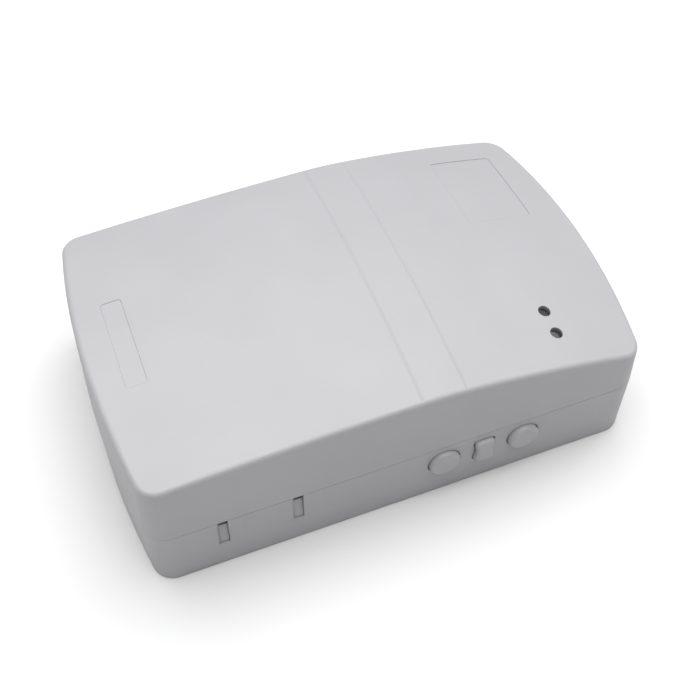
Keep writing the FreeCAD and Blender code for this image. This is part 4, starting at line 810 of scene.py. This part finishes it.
class Pattern:
    """A Geometry Nodes tree whose named sizes are its inputs.

    Attributes:
        tree: The node tree.
        sizes: Each input's name and value, in metres or as a count.
        inputs: The sockets that give those sizes.
    """

    def __init__(self, name: str, sizes: dict[str, float | int]) -> None:
        """Start a tree.

        Args:
            name: The tree's name.
            sizes: Each input's name and value.
        """
        self.tree = bpy.data.node_groups.new(name, "GeometryNodeTree")
        self.sizes = sizes
        face = self.tree.interface
        for size, value in sizes.items():
            kind = "NodeSocketInt" if isinstance(value, int) else "NodeSocketFloat"
            face.new_socket(size, in_out="INPUT", socket_type=kind)
        face.new_socket("Geometry", in_out="OUTPUT", socket_type="NodeSocketGeometry")
        self.inputs = self.tree.nodes.new("NodeGroupInput").outputs

    def add(self, kind: str, inputs: Inputs = (), out: str = "", **settings: object) -> Socket:
        """Add one node to the tree; see add_node."""
        return add_node(self.tree, kind, inputs, out, **settings)

    def repeat(self, item: Socket, rows: list[tuple[Amount, Socket, Socket]]) -> Socket:
        """Put one item at every place of one or more straight rows.

        Args:
            item: What is placed.
            rows: For each row, the number of places, the first place and the step.

        Returns:
            All the placed items.
        """
        lines = [self.add("MeshLine", row) for row in rows]
        places = self.add("JoinGeometry", (lines,)) if len(lines) > 1 else lines[0]
        return self.add("InstanceOnPoints", {"Points": places, "Instance": item})

    def tube(self, path: Socket, radius: Socket, sides: int, scale: Amount = 1.0) -> Socket:
        """Draw a closed round tube along a path.

        Args:
            path: The path.
            radius: The tube's radius.
            sides: How many flats go round it.
            scale: A factor on the radius, which may change along the path.

        Returns:
            The tube.
        """
        ring = self.add("CurvePrimitiveCircle", (sides, radius))
        return self.add("CurveToMesh", (path, ring, scale, True))

    def punched_plate(
        self,
        plate: tuple[Socket, Socket],
        window: tuple[Socket, Socket],
        places: list[Amount],
        thickness: Socket,
    ) -> Socket:
        """Cut a plate with windows that stands upright and is thick along Y.

        Args:
            plate: Its length and height.
            window: Each window's length and height.
            places: How far each window's middle is from the plate's.
            thickness: The plate's thickness.

        Returns:
            The closed plate.
        """
        outlines = []
        for sizes, shift in [(plate, 0.0)] + [(window, place) for place in places]:
            outline = self.add("CurvePrimitiveQuadrilateral", sizes)
            place = self.add("CombineXYZ", (shift,))
            outlines.append(self.add("Transform", {"Geometry": outline, "Translation": place}))
        joined = self.add("JoinGeometry", (outlines,))
        sheet = self.add("FillCurve", (joined,))
        raised = self.add(
            "ExtrudeMesh", {"Mesh": sheet, "Offset Scale": thickness, "Individual": False}
        )
        back = self.add("FlipFaces", (sheet,))
        shell = self.add("JoinGeometry", ([raised, back],))
        solid = self.add("MergeByDistance", {"Geometry": shell, "Distance": WELD})
        upright = Euler((-math.pi / 2, 0, 0))
        return self.add("Transform", {"Geometry": solid, "Rotation": upright})

    def mesh(self, geometry: Socket, finish: Finish, smooth: bool = False) -> Mesh:
        """End the tree with real geometry in its finish, and turn it into a plain mesh.

        Args:
            geometry: The last geometry socket.
            finish: The finish of the whole.
            smooth: Whether the faces are shaded as one round surface.

        Returns:
            The mesh.
        """
        real = self.add("RealizeInstances", (geometry,))
        dressed = self.add("SetMaterial", {"Geometry": real, "Material": finish.material()})
        feed(self.tree.nodes.new("NodeGroupOutput"), {0: dressed})
        start = bpy.data.meshes.new(self.tree.name + "_start")
        holder = bpy.data.objects.new(self.tree.name, start)
        bpy.context.scene.collection.objects.link(holder)
        modifier = holder.modifiers.new("pattern", "NODES")
        modifier.node_group = self.tree
        for item in self.tree.interface.items_tree:
            if item.in_out == "INPUT":
                modifier[item.identifier] = self.sizes[item.name]
        view = bpy.context.evaluated_depsgraph_get()
        made = bpy.data.meshes.new_from_object(holder.evaluated_get(view))
        holder.modifiers.remove(modifier)
        bpy.data.objects.remove(holder)
        if smooth:
            made.shade_smooth()
        return made


# The case


@dataclass
class Crown:
    """The lid's crowned top: three tangent arcs along the case, turned about a far axis.

    Attributes:
        crest_height: Height of the highest point.
        crest_x: Where along the case that point is.
        across_radius: Radius across the case.
        left_radius: Radius of the long left arc.
        bend_radius: Radius of the bend between the bands.
        right_radius: Radius of the slope to the right end.
        band_left: Where the bend starts.
        band_right: Where the bend ends.
        tolerance: How far a mesh point may be from the surface and still be on it.
        arcs: Where each arc ends along the case, its centre and its radius.
    """

    crest_height: float = 52.8 * MM
    crest_x: float = 3.0 * MM
    across_radius: float = 274.0 * MM
    left_radius: float = 1280.0 * MM
    bend_radius: float = 135.0 * MM
    right_radius: float = 365.0 * MM
    band_left: float = 5.0 * MM
    band_right: float = 18.4 * MM
    tolerance: float = 0.02 * MM
    arcs: list[tuple[float, float, float, float]] = field(init=False)

    def __post_init__(self) -> None:
        """Work out each arc's end, centre and radius."""
        left_z = self.crest_height - self.left_radius
        turn = math.asin((self.band_left - self.crest_x) / self.left_radius)
        bend_x = self.crest_x + (self.left_radius - self.bend_radius) * math.sin(turn)
        bend_z = left_z + (self.left_radius - self.bend_radius) * math.cos(turn)
        turn = math.asin((self.band_right - bend_x) / self.bend_radius)
        right_x = bend_x + (self.bend_radius - self.right_radius) * math.sin(turn)
        right_z = bend_z + (self.bend_radius - self.right_radius) * math.cos(turn)
        self.arcs = [
            (self.band_left, self.crest_x, left_z, self.left_radius),
            (self.band_right, bend_x, bend_z, self.bend_radius),
            (math.inf, right_x, right_z, self.right_radius),
        ]

    def normal(self, place: Vector) -> Vector | None:
        """Give the crown's exact normal at a point on it.

        Args:
            place: A mesh point.

        Returns:
            The exact normal, or None where the point isn't on the crown.
        """
        axis_z = self.crest_height - self.across_radius
        reach = math.hypot(place.y, place.z - axis_z)
        _, centre_x, centre_z, radius = next(arc for arc in self.arcs if place.x <= arc[0])
        along, up = place.x - centre_x, axis_z + reach - centre_z
        if abs(math.hypot(along, up) - radius) > self.tolerance:
            return None
        across, rise = up * place.y / reach, up * (place.z - axis_z) / reach
        return Vector((along, across, rise)).normalized()


@dataclass
class Case:
    """The two moulded shells.

    Attributes:
        crown: The shape of the lid's top.
    """

    crown: Crown = field(default_factory=Crown)

    def build(self) -> None:
        """Build the base and the lid."""
        base = node_mesh("base_shell")
        lid = node_mesh("lid_shell", self.crown.normal)
        add_piece("case_base", base, Body.PANEL, CASE_ABS, "base_shell")
        add_piece("case_lid", lid, Body.LID, CASE_ABS, "lid_shell")


@dataclass
class Buttons:
    """The three push-buttons: their caps and the key switches behind them.

    Attributes:
        names: What each button is called.
    """

    names: tuple[str, ...] = ("up", "stop", "down")

    def build(self) -> None:
        """Build one cap on each button's body, and dress its switch."""
        for name in self.names:
            node = f"{name}_button_cap"
            body = Body(f"{name}_button")
            add_piece(f"{name}_cap", node_mesh(node), body, BUTTON_ABS, node)
            dress(SWITCH_PBT, f"{name}_switch_body", f"{name}_switch_plunger")


@dataclass
class LightPipes:
    """The two clear rods under the lid's small holes, and the lamps that light them."""

    def build(self) -> None:
        """Build both rods as one piece on the lid, and dress the lamps."""
        add_piece("lamp_rods", node_mesh("light_pipes"), Body.LID, LIGHT_PIPE, "light_pipes")
        dress(STATUS_EPOXY, "status_lights")


# What the case holds


@dataclass
class Screws:
    """Rolled threads on four screws that stand at the corners of a rectangle.

    Attributes:
        name: Which screws these are.
        node: Their CAD node.
        length: Distance between the screws along X.
        width: Distance between the screws along Y.
        middle: Place of the rectangle's middle along Y.
        foot: Height where the thread starts.
        rise: Height of the thread.
        core: Radius that the thread stands on.
        pitch: Height of one turn.
        depth: How far the thread stands out.
        smoothness: Points along one turn.
        sides: Flats round the thread's ridge.
    """

    name: str
    node: str
    length: float
    width: float
    middle: float
    foot: float
    rise: float
    core: float
    pitch: float
    depth: float = 0.22 * MM
    smoothness: int = 24
    sides: int = 3

    def build(self) -> None:
        """Dress the screws and wind a thread on each."""
        dress(ZINC_STEEL, self.node)
        pattern = Pattern(
            self.name,
            {
                "Length": self.length,
                "Width": self.width,
                "Middle": self.middle,
                "Foot": self.foot,
                "Rise": self.rise,
                "Turns": self.rise / self.pitch,
                "Core": self.core,
                "Depth": self.depth,
                "Smoothness": self.smoothness,
            },
        )
        size = pattern.inputs
        winding = [size[name] for name in ("Smoothness", "Turns", "Core", "Core", "Rise")]
        helix = pattern.add("CurveSpiral", tuple(winding))
        thread = pattern.tube(helix, size["Depth"], self.sides)
        corners = pattern.add("MeshGrid", (size["Length"], size["Width"], 2, 2))
        start = pattern.add("CombineXYZ", (0.0, size["Middle"], size["Foot"]))
        placed = pattern.add("Transform", {"Geometry": corners, "Translation": start})
        each = pattern.add("InstanceOnPoints", {"Points": placed, "Instance": thread})
        add_piece(self.name, pattern.mesh(each, ZINC_STEEL), Body.PANEL, ZINC_STEEL)


@dataclass
class Transformer:
    """The mains transformer: stamped core plates, the bobbin and the taped coil.

    Attributes:
        length: Length of a plate.
        height: Height of a plate.
        leg: Width of the outer legs and yokes.
        middle_leg: Width of the middle leg.
        stack: Thickness of the whole stack.
        plates: Number of plates in it.
        cut: How much of each plate's place is taken up by the gap to the next.
        shift: How far a plate may sit off the others.
        seed: Seed of the plates' random places.
    """

    length: float = 34.9 * MM
    height: float = 29.1 * MM
    leg: float = 5.85 * MM
    middle_leg: float = 11.75 * MM
    stack: float = 14.0 * MM
    plates: int = 28
    cut: float = 0.1 * MM
    shift: float = 0.04 * MM
    seed: int = 7

    def build(self) -> None:
        """Build the core's plates, and dress the bobbin and the coil."""
        dress(BOBBIN_NYLON, "transformer_bobbin")
        dress(WINDING_TAPE, "transformer_coil")
        low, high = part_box("transformer_core")
        pattern = Pattern(
            "core_plates",
            {
                "Length": self.length,
                "Height": self.height,
                "Window length": (self.length - 2 * self.leg - self.middle_leg) / 2,
                "Window height": self.height - 2 * self.leg,
                "Window place": (self.length - 2 * self.leg + self.middle_leg) / 4,
                "Plates": self.plates,
                "Pitch": self.stack / self.plates,
                "Thickness": self.stack / self.plates - self.cut,
                "Shift": self.shift,
                "Middle x": (low[0] + high[0]) / 2,
                "Front": low[1],
                "Middle z": (low[2] + high[2]) / 2,
            },
        )
        size = pattern.inputs
        places = [
            pattern.add("Math", (size["Window place"], side), operation="MULTIPLY")
            for side in (-1.0, 1.0)
        ]
        plate = (size["Length"], size["Height"])
        window = (size["Window length"], size["Window height"])
        upright = pattern.punched_plate(plate, window, places, size["Thickness"])
        start = pattern.add("CombineXYZ", (size["Middle x"], size["Front"], size["Middle z"]))
        step = pattern.add("CombineXYZ", (0.0, size["Pitch"]))
        each = pattern.repeat(upright, [(size["Plates"], start, step)])
        least = pattern.add("Math", (size["Shift"], -1.0), operation="MULTIPLY")
        limits = [pattern.add("CombineXYZ", (end, 0.0, end)) for end in (least, size["Shift"])]
        loose = pattern.add(
            "RandomValue",
            {0: limits[0], 1: limits[1], "Seed": self.seed},
            data_type="FLOAT_VECTOR",
        )
        shifted = pattern.add("TranslateInstances", {"Instances": each, "Translation": loose})
        mesh = pattern.mesh(shifted, CORE_STEEL)
        add_piece("core_plates", mesh, Body.PANEL, CORE_STEEL, "transformer_core")


@dataclass
class WireClamps:
    """The tinned clamp in each wire mouth of the three terminal strips.

    Attributes:
        strips: For each strip, its CAD node, its number of ways and their pitch.
        rib: Wall between two mouths.
        gap: Play between a clamp and its mouth.
        wall: Thickness of the clamp's metal.
        height: Height of a clamp.
        depth: Its depth.
        sunk: How far it stands back from the strip's face.
        lift: Height of its middle above the strip's foot.
    """

    strips: tuple[tuple[str, int, float], ...] = (
        ("mains_terminal", 3, 7.6 * MM),
        ("motor_terminal", 4, 5.0 * MM),
        ("sensor_terminal", 8, 4.4 * MM),
    )
    rib: float = 1.0 * MM
    gap: float = 0.15 * MM
    wall: float = 0.45 * MM
    height: float = 4.7 * MM
    depth: float = 3.6 * MM
    sunk: float = 1.2 * MM
    lift: float = 4.1 * MM

    def build(self) -> None:
        """Dress each strip and build its row of clamps."""
        for node, ways, pitch in self.strips:
            dress(TERMINAL_NYLON, node)
            low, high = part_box(node)
            pattern = Pattern(
                f"{node}_clamps",
                {
                    "Length": pitch - self.rib - 2 * self.gap,
                    "Height": self.height,
                    "Wall": self.wall,
                    "Depth": self.depth,
                    "Ways": ways,
                    "Pitch": pitch,
                    "First": (low[0] + high[0] - (ways - 1) * pitch) / 2,
                    "Front": high[1] - self.sunk - self.depth,
                    "Middle z": low[2] + self.lift,
                },
            )
            size = pattern.inputs
            outside = (size["Length"], size["Height"])
            walls = pattern.add("Math", (size["Wall"], 2.0), operation="MULTIPLY")
            mouth = [
                pattern.add("Math", (side, walls), operation="SUBTRACT") for side in outside
            ]
            clamp = pattern.punched_plate(outside, tuple(mouth), [0.0], size["Depth"])
            start = pattern.add("CombineXYZ", (size["First"], size["Front"], size["Middle z"]))
            step = pattern.add("CombineXYZ", (size["Pitch"],))
            each = pattern.repeat(clamp, [(size["Ways"], start, step)])
            mesh = pattern.mesh(each, TINNED_STEEL)
            add_piece(f"{node}_clamps", mesh, Body.PANEL, TINNED_STEEL)


@dataclass
class Resistors:
    """Small axial resistors in rows on the board.

    Attributes:
        body: Length of the barrel.
        radius: Radius of the barrel's ends.
        pitch: Distance between the two legs' holes.
        wire: Radius of the legs.
        rise: Height of the axis over the board.
        board: Height of the board's top.
        rows: For each row, its first place, the step to the next and the count.
        barrel: The barrel's outline: share of the length, share of the radius.
        barrel_points: Points along a barrel.
        barrel_sides: Flats round a barrel.
        leg_points: Points along a leg.
        leg_sides: Flats round a leg.
        leg_reach: Share of the barrel's length, from its middle, where a leg goes in.
    """

    body: float = 6.3 * MM
    radius: float = 1.2 * MM
    pitch: float = 10.16 * MM
    wire: float = 0.28 * MM
    rise: float = 1.35 * MM
    board: float = 11.7 * MM
    rows: tuple[tuple[tuple[float, float], tuple[float, float], int], ...] = (
        ((-8.0 * MM, -19.0 * MM), (12.4 * MM, 0.0), 3),
        ((-8.0 * MM, -15.4 * MM), (12.4 * MM, 0.0), 3),
        ((40.5 * MM, -35.8 * MM), (0.0, 3.4 * MM), 4),
    )
    barrel: tuple[tuple[float, float], ...] = (
        (0.0, 0.3),
        (0.015, 0.62),
        (0.05, 0.9),
        (0.1, 1.0),
        (0.18, 1.0),
        (0.27, 0.84),
        (0.73, 0.84),
        (0.82, 1.0),
        (0.9, 1.0),
        (0.95, 0.9),
        (0.985, 0.62),
        (1.0, 0.3),
    )
    barrel_points: int = 41
    barrel_sides: int = 20
    leg_points: int = 10
    leg_sides: int = 10
    leg_reach: float = 0.48

    def build(self) -> None:
        """Build the barrels as one piece and the legs as another."""
        add_piece("resistor_barrels", self.barrels(), Body.PANEL, RESISTOR_BODY)
        add_piece("resistor_legs", self.legs(), Body.PANEL, TINNED_STEEL)

    def start(self, name: str) -> Pattern:
        """Start a pattern with the resistors' sizes.

        Args:
            name: The pattern's name.

        Returns:
            The pattern.
        """
        return Pattern(
            name,
            {
                "Body": self.body,
                "Radius": self.radius,
                "Half pitch": self.pitch / 2,
                "Wire": self.wire,
                "Rise": self.rise,
                "Level": self.board + self.rise,
            },
        )

    def spread(self, pattern: Pattern, item: Socket) -> Socket:
        """Put one item at every resistor's place.

        Args:
            pattern: The pattern.
            item: What is placed.

        Returns:
            All the placed items.
        """
        rows = []
        for first, step, count in self.rows:
            start = pattern.add("CombineXYZ", (*first, pattern.inputs["Level"]))
            rows.append((count, start, pattern.add("CombineXYZ", step)))
        return pattern.repeat(item, rows)

    def barrels(self) -> Mesh:
        """Turn each barrel from its outline, and keep each point's place for the bands.

        Returns:
            All the barrels.
        """
        pattern = self.start("resistor_barrels")
        size = pattern.inputs
        half = pattern.add("Math", (size["Body"], HALF), operation="MULTIPLY")
        minus = pattern.add("Math", (size["Body"], -HALF), operation="MULTIPLY")
        ends = tuple(pattern.add("CombineXYZ", (end,)) for end in (minus, half))
        axis = pattern.add("CurvePrimitiveLine", ends)
        fine = pattern.add("ResampleCurve", {"Curve": axis, "Count": self.barrel_points})
        share = pattern.add("SplineParameter", out="Factor")
        outline = pattern.add("FloatCurve", {"Value": share})
        mapping = outline.node.mapping
        points = mapping.curves[0].points
        points[0].location, points[-1].location = self.barrel[0], self.barrel[-1]
        for spot in self.barrel[1:-1]:
            points.new(*spot)
        mapping.update()
        shaped = pattern.add("SetCurveRadius", {"Curve": fine, "Radius": outline})
        swell = pattern.add("InputRadius")
        turned = pattern.tube(shaped, size["Radius"], self.barrel_sides, swell)
        across = pattern.add("SeparateXYZ", (pattern.add("InputPosition"),))
        along = pattern.add("Math", (across, half), operation="DIVIDE")
        marks = {"Geometry": turned, "Name": "along", "Value": along}
        marked = pattern.add("StoreNamedAttribute", marks)
        return pattern.mesh(self.spread(pattern, marked), RESISTOR_BODY, smooth=True)

    def legs(self) -> Mesh:
        """Bend both legs of each resistor from its ends down into the board.

        Returns:
            All the legs.
        """
        pattern = self.start("resistor_legs")
        size = pattern.inputs
        down = pattern.add("Math", (size["Rise"], -1.0), operation="MULTIPLY")
        bends = []
        for side in (-1.0, 1.0):
            reach = self.leg_reach * side
            far = pattern.add("Math", (size["Half pitch"], side), operation="MULTIPLY")
            near = pattern.add("Math", (size["Body"], reach), operation="MULTIPLY")
            places = ((far, 0.0, down), (far,), (near,))
            stops = [pattern.add("CombineXYZ", place) for place in places]
            bends.append(pattern.add("CurveQuadraticBezier", (self.leg_points, *stops)))
        paths = pattern.add("JoinGeometry", (bends,))
        drawn = pattern.tube(paths, size["Wire"], self.leg_sides)
        return pattern.mesh(self.spread(pattern, drawn), TINNED_STEEL, smooth=True)


@dataclass
class Board:
    """The circuit board, its printed outlines and the parts whose CAD shapes stay.

    Attributes:
        margin: How far an outline stands from its part.
        line: Width of the printed line.
        ink: Thickness of the ink.
        outlined: The parts that have an outline.
    """

    margin: float = 0.7 * MM
    line: float = 0.25 * MM
    ink: float = 0.02 * MM
    outlined: tuple[str, ...] = (
        "open_relay",
        "close_relay",
        "transformer_bobbin",
        "bridge_rectifier",
        "controller_chip",
        "timing_crystal",
        "radio_board",
        "regulator_tab",
    )

    def build(self) -> None:
        """Dress the board and its parts, and print the outlines."""
        dress(BOARD_FR4, "main_board")
        dress(RADIO_FR4, "radio_board")
        dress(ZINC_STEEL, "terminal_screws")
        dress(RELAY_COVER, "open_relay", "close_relay")
        dress(PACKAGE_EPOXY, "bridge_rectifier", "controller_chip", "regulator_body")
        dress(TINNED_STEEL, "chip_legs", "regulator_legs", "regulator_tab", "timing_crystal")
        dress(TINNED_STEEL, "radio_can", "switch_brackets")
        dress(DIPPED_LACQUER, "surge_suppressor")
        dress(RESERVOIR_CAN, "reservoir_capacitor")
        dress(BYPASS_CAN, "bypass_capacitors")
        dress(WIRE_PVC, "radio_aerial")
        self.print_outlines()

    def print_outlines(self) -> None:
        """Print a thin frame round each of the larger parts."""
        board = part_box("main_board")[1][2]
        level = board + self.ink
        inner, outer = self.margin, self.margin + self.line
        section = ((inner, level), (outer, level), (outer, board), (inner, board))
        mesh = bpy.data.meshes.new("printed_outlines")
        shape = bmesh.new()
        for node in self.outlined:
            low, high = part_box(node)
            rings = []
            for out, z in section:
                west, south, east, north = (
                    low[0] - out, low[1] - out, high[0] + out, high[1] + out
                )
                corners = ((west, south), (east, south), (east, north), (west, north))
                rings.append([shape.verts.new((x, y, z)) for x, y in corners])
            for ring, following in zip(rings, rings[1:] + rings[:1]):
                for index in range(len(ring)):
                    after = (index + 1) % len(ring)
                    corners = (ring[index], following[index], following[after], ring[after])
                    shape.faces.new(corners)
        shape.to_mesh(mesh)
        shape.free()
        add_piece("printed_outlines", mesh, Body.PANEL, BOARD_INK)


@dataclass
class Fuse:
    """The mains fuse in its holder.

    Attributes:
        sag: How far the wire's middle control point hangs.
        wire: The wire's radius.
        points: Points along the wire.
        sides: Flats round it.
    """

    sag: float = 0.5 * MM
    wire: float = 0.14 * MM
    points: int = 16
    sides: int = 8

    def build(self) -> None:
        """Dress the fuse and stretch its thin wire between the caps."""
        dress(PACKAGE_EPOXY, "fuse_holder")
        dress(TINNED_STEEL, "fuse_caps")
        dress(FUSE_GLASS, "fuse_glass")
        low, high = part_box("fuse_glass")
        pattern = Pattern(
            "fuse_wire",
            {
                "Left": low[0],
                "Right": high[0],
                "Middle y": (low[1] + high[1]) / 2,
                "Middle z": (low[2] + high[2]) / 2,
                "Sag": self.sag,
                "Radius": self.wire,
            },
        )
        size = pattern.inputs
        whole = pattern.add("Math", (size["Left"], size["Right"]), operation="ADD")
        half = pattern.add("Math", (whole, HALF), operation="MULTIPLY")
        level = size["Middle z"]
        lower = pattern.add("Math", (level, size["Sag"]), operation="SUBTRACT")
        places = ((size["Left"], level), (half, lower), (size["Right"], level))
        stops = [pattern.add("CombineXYZ", (x, size["Middle y"], z)) for x, z in places]
        path = pattern.add("CurveQuadraticBezier", (self.points, *stops))
        drawn = pattern.tube(path, size["Radius"], self.sides)
        add_piece("fuse_wire", pattern.mesh(drawn, TINNED_STEEL), Body.PANEL, TINNED_STEEL)


@dataclass
class CableEntries:
    """The three rubber rings in the back wall.

    Attributes:
        names: The cable that each ring is for.
    """

    names: tuple[str, ...] = ("mains", "motor", "sensor")

    def build(self) -> None:
        """Dress the rings."""
        dress(GROMMET_EPDM, *(f"{name}_cable_grommet" for name in self.names))


# Studio


@dataclass(frozen=True)
class SoftLight:
    """One soft square light that faces the panel.

    Attributes:
        name: The light's name.
        place: Its middle, in metres.
        size: Side of the light, in metres.
        power: Its power in watts.
    """

    name: str
    place: tuple[float, float, float]
    size: float
    power: float

    def build(self) -> None:
        """Hang the light."""
        data = bpy.data.lights.new(self.name, "AREA")
        data.shape = "SQUARE"
        data.size = self.size
        data.energy = self.power
        lamp = bpy.data.objects.new(self.name, data)
        lamp.location = self.place
        lamp.rotation_euler = (Vector(self.place) * -1).to_track_quat("-Z", "Y").to_euler()
        bpy.context.scene.collection.objects.link(lamp)


@dataclass
class Studio:
    """Camera, floor and light of the product photograph.

    Attributes:
        lens: Focal length in millimetres on a 36 mm sensor.
        shift: The camera's shift, in sensor widths.
        place: The camera's place, in metres.
        turn: The camera's turn, in degrees.
        near: How near the camera sees, in metres.
        floor_size: Side of the pale floor.
        floor_drop: How far the floor lies under the panel.
        air: Strength of the white light from all round.
        lights: The soft lights.
    """

    lens: float = 59.86
    shift: tuple[float, float] = (0.0415, -0.1188)
    place: tuple[float, float, float] = (-0.079667, -0.207397, 0.311777)
    turn: tuple[float, float, float] = (40.8775, 0.9229, -20.4414)
    near: float = 0.01
    floor_size: float = 30.0
    floor_drop: float = 0.05 * MM
    air: float = 0.05
    lights: tuple[SoftLight, ...] = (
        SoftLight("overhead_box", (0.20, 0.40, 4.00), 5.4, 358.0),
        SoftLight("left_box", (-1.30, 0.35, 0.50), 0.9, 0.8),
        SoftLight("right_box", (1.30, 0.35, 0.50), 0.9, 1.6),
    )

    def build(self) -> None:
        """Build the whole studio."""
        self.add_camera()
        self.add_floor()
        for light in self.lights:
            light.build()
        scene = bpy.context.scene
        scene.view_settings.view_transform = "Standard"
        scene.view_settings.look = "None"
        scene.world = scene.world or bpy.data.worlds.new("studio_air")
        scene.world.use_nodes = True
        background = scene.world.node_tree.nodes["Background"]
        feed(background, {"Color": linear("FFFFFF"), "Strength": self.air})

    def add_camera(self) -> None:
        """Put the camera where the photograph was taken from."""
        data = bpy.data.cameras.new("photo_camera")
        data.lens = self.lens
        data.shift_x, data.shift_y = self.shift
        data.clip_start = self.near
        camera = bpy.data.objects.new("photo_camera", data)
        camera.location = self.place
        camera.rotation_euler = Euler([math.radians(angle) for angle in self.turn])
        bpy.context.scene.collection.objects.link(camera)
        bpy.context.scene.camera = camera

    def add_floor(self) -> None:
        """Lay a plain pale floor under the panel."""
        half = self.floor_size / 2
        mesh = bpy.data.meshes.new("floor")
        corners = ((-half, -half), (half, -half), (half, half), (-half, half))
        mesh.from_pydata([(x, y, -self.floor_drop) for x, y in corners], [], [(0, 1, 2, 3)])
        mesh.materials.append(GROUND_PAPER.material())
        floor = bpy.data.objects.new("floor", mesh)
        bpy.context.scene.collection.objects.link(floor)


def main() -> None:
    """Build every sub-assembly in order, then the studio."""
    lid_screws = Screws(
        name="lid_screw_threads",
        node="lid_screws",
        length=138.3 * MM,
        width=84.8 * MM,
        middle=0.0,
        foot=17.0 * MM,
        rise=12.6 * MM,
        core=1.46 * MM,
        pitch=1.3 * MM,
    )
    board_screws = Screws(
        name="board_screw_threads",
        node="board_screws",
        length=115.0 * MM,
        width=62.4 * MM,
        middle=-9.0 * MM,
        foot=6.8 * MM,
        rise=3.0 * MM,
        core=1.26 * MM,
        pitch=0.9 * MM,
    )
    parts = (
        Case(),
        Buttons(),
        LightPipes(),
        lid_screws,
        board_screws,
        Transformer(),
        WireClamps(),
        Resistors(),
        Board(),
        Fuse(),
        CableEntries(),
        Studio(),
    )
    for part in parts:
        part.build()
        LOG.info("%s done", type(part).__name__)


if __name__ == "__main__":
    main()
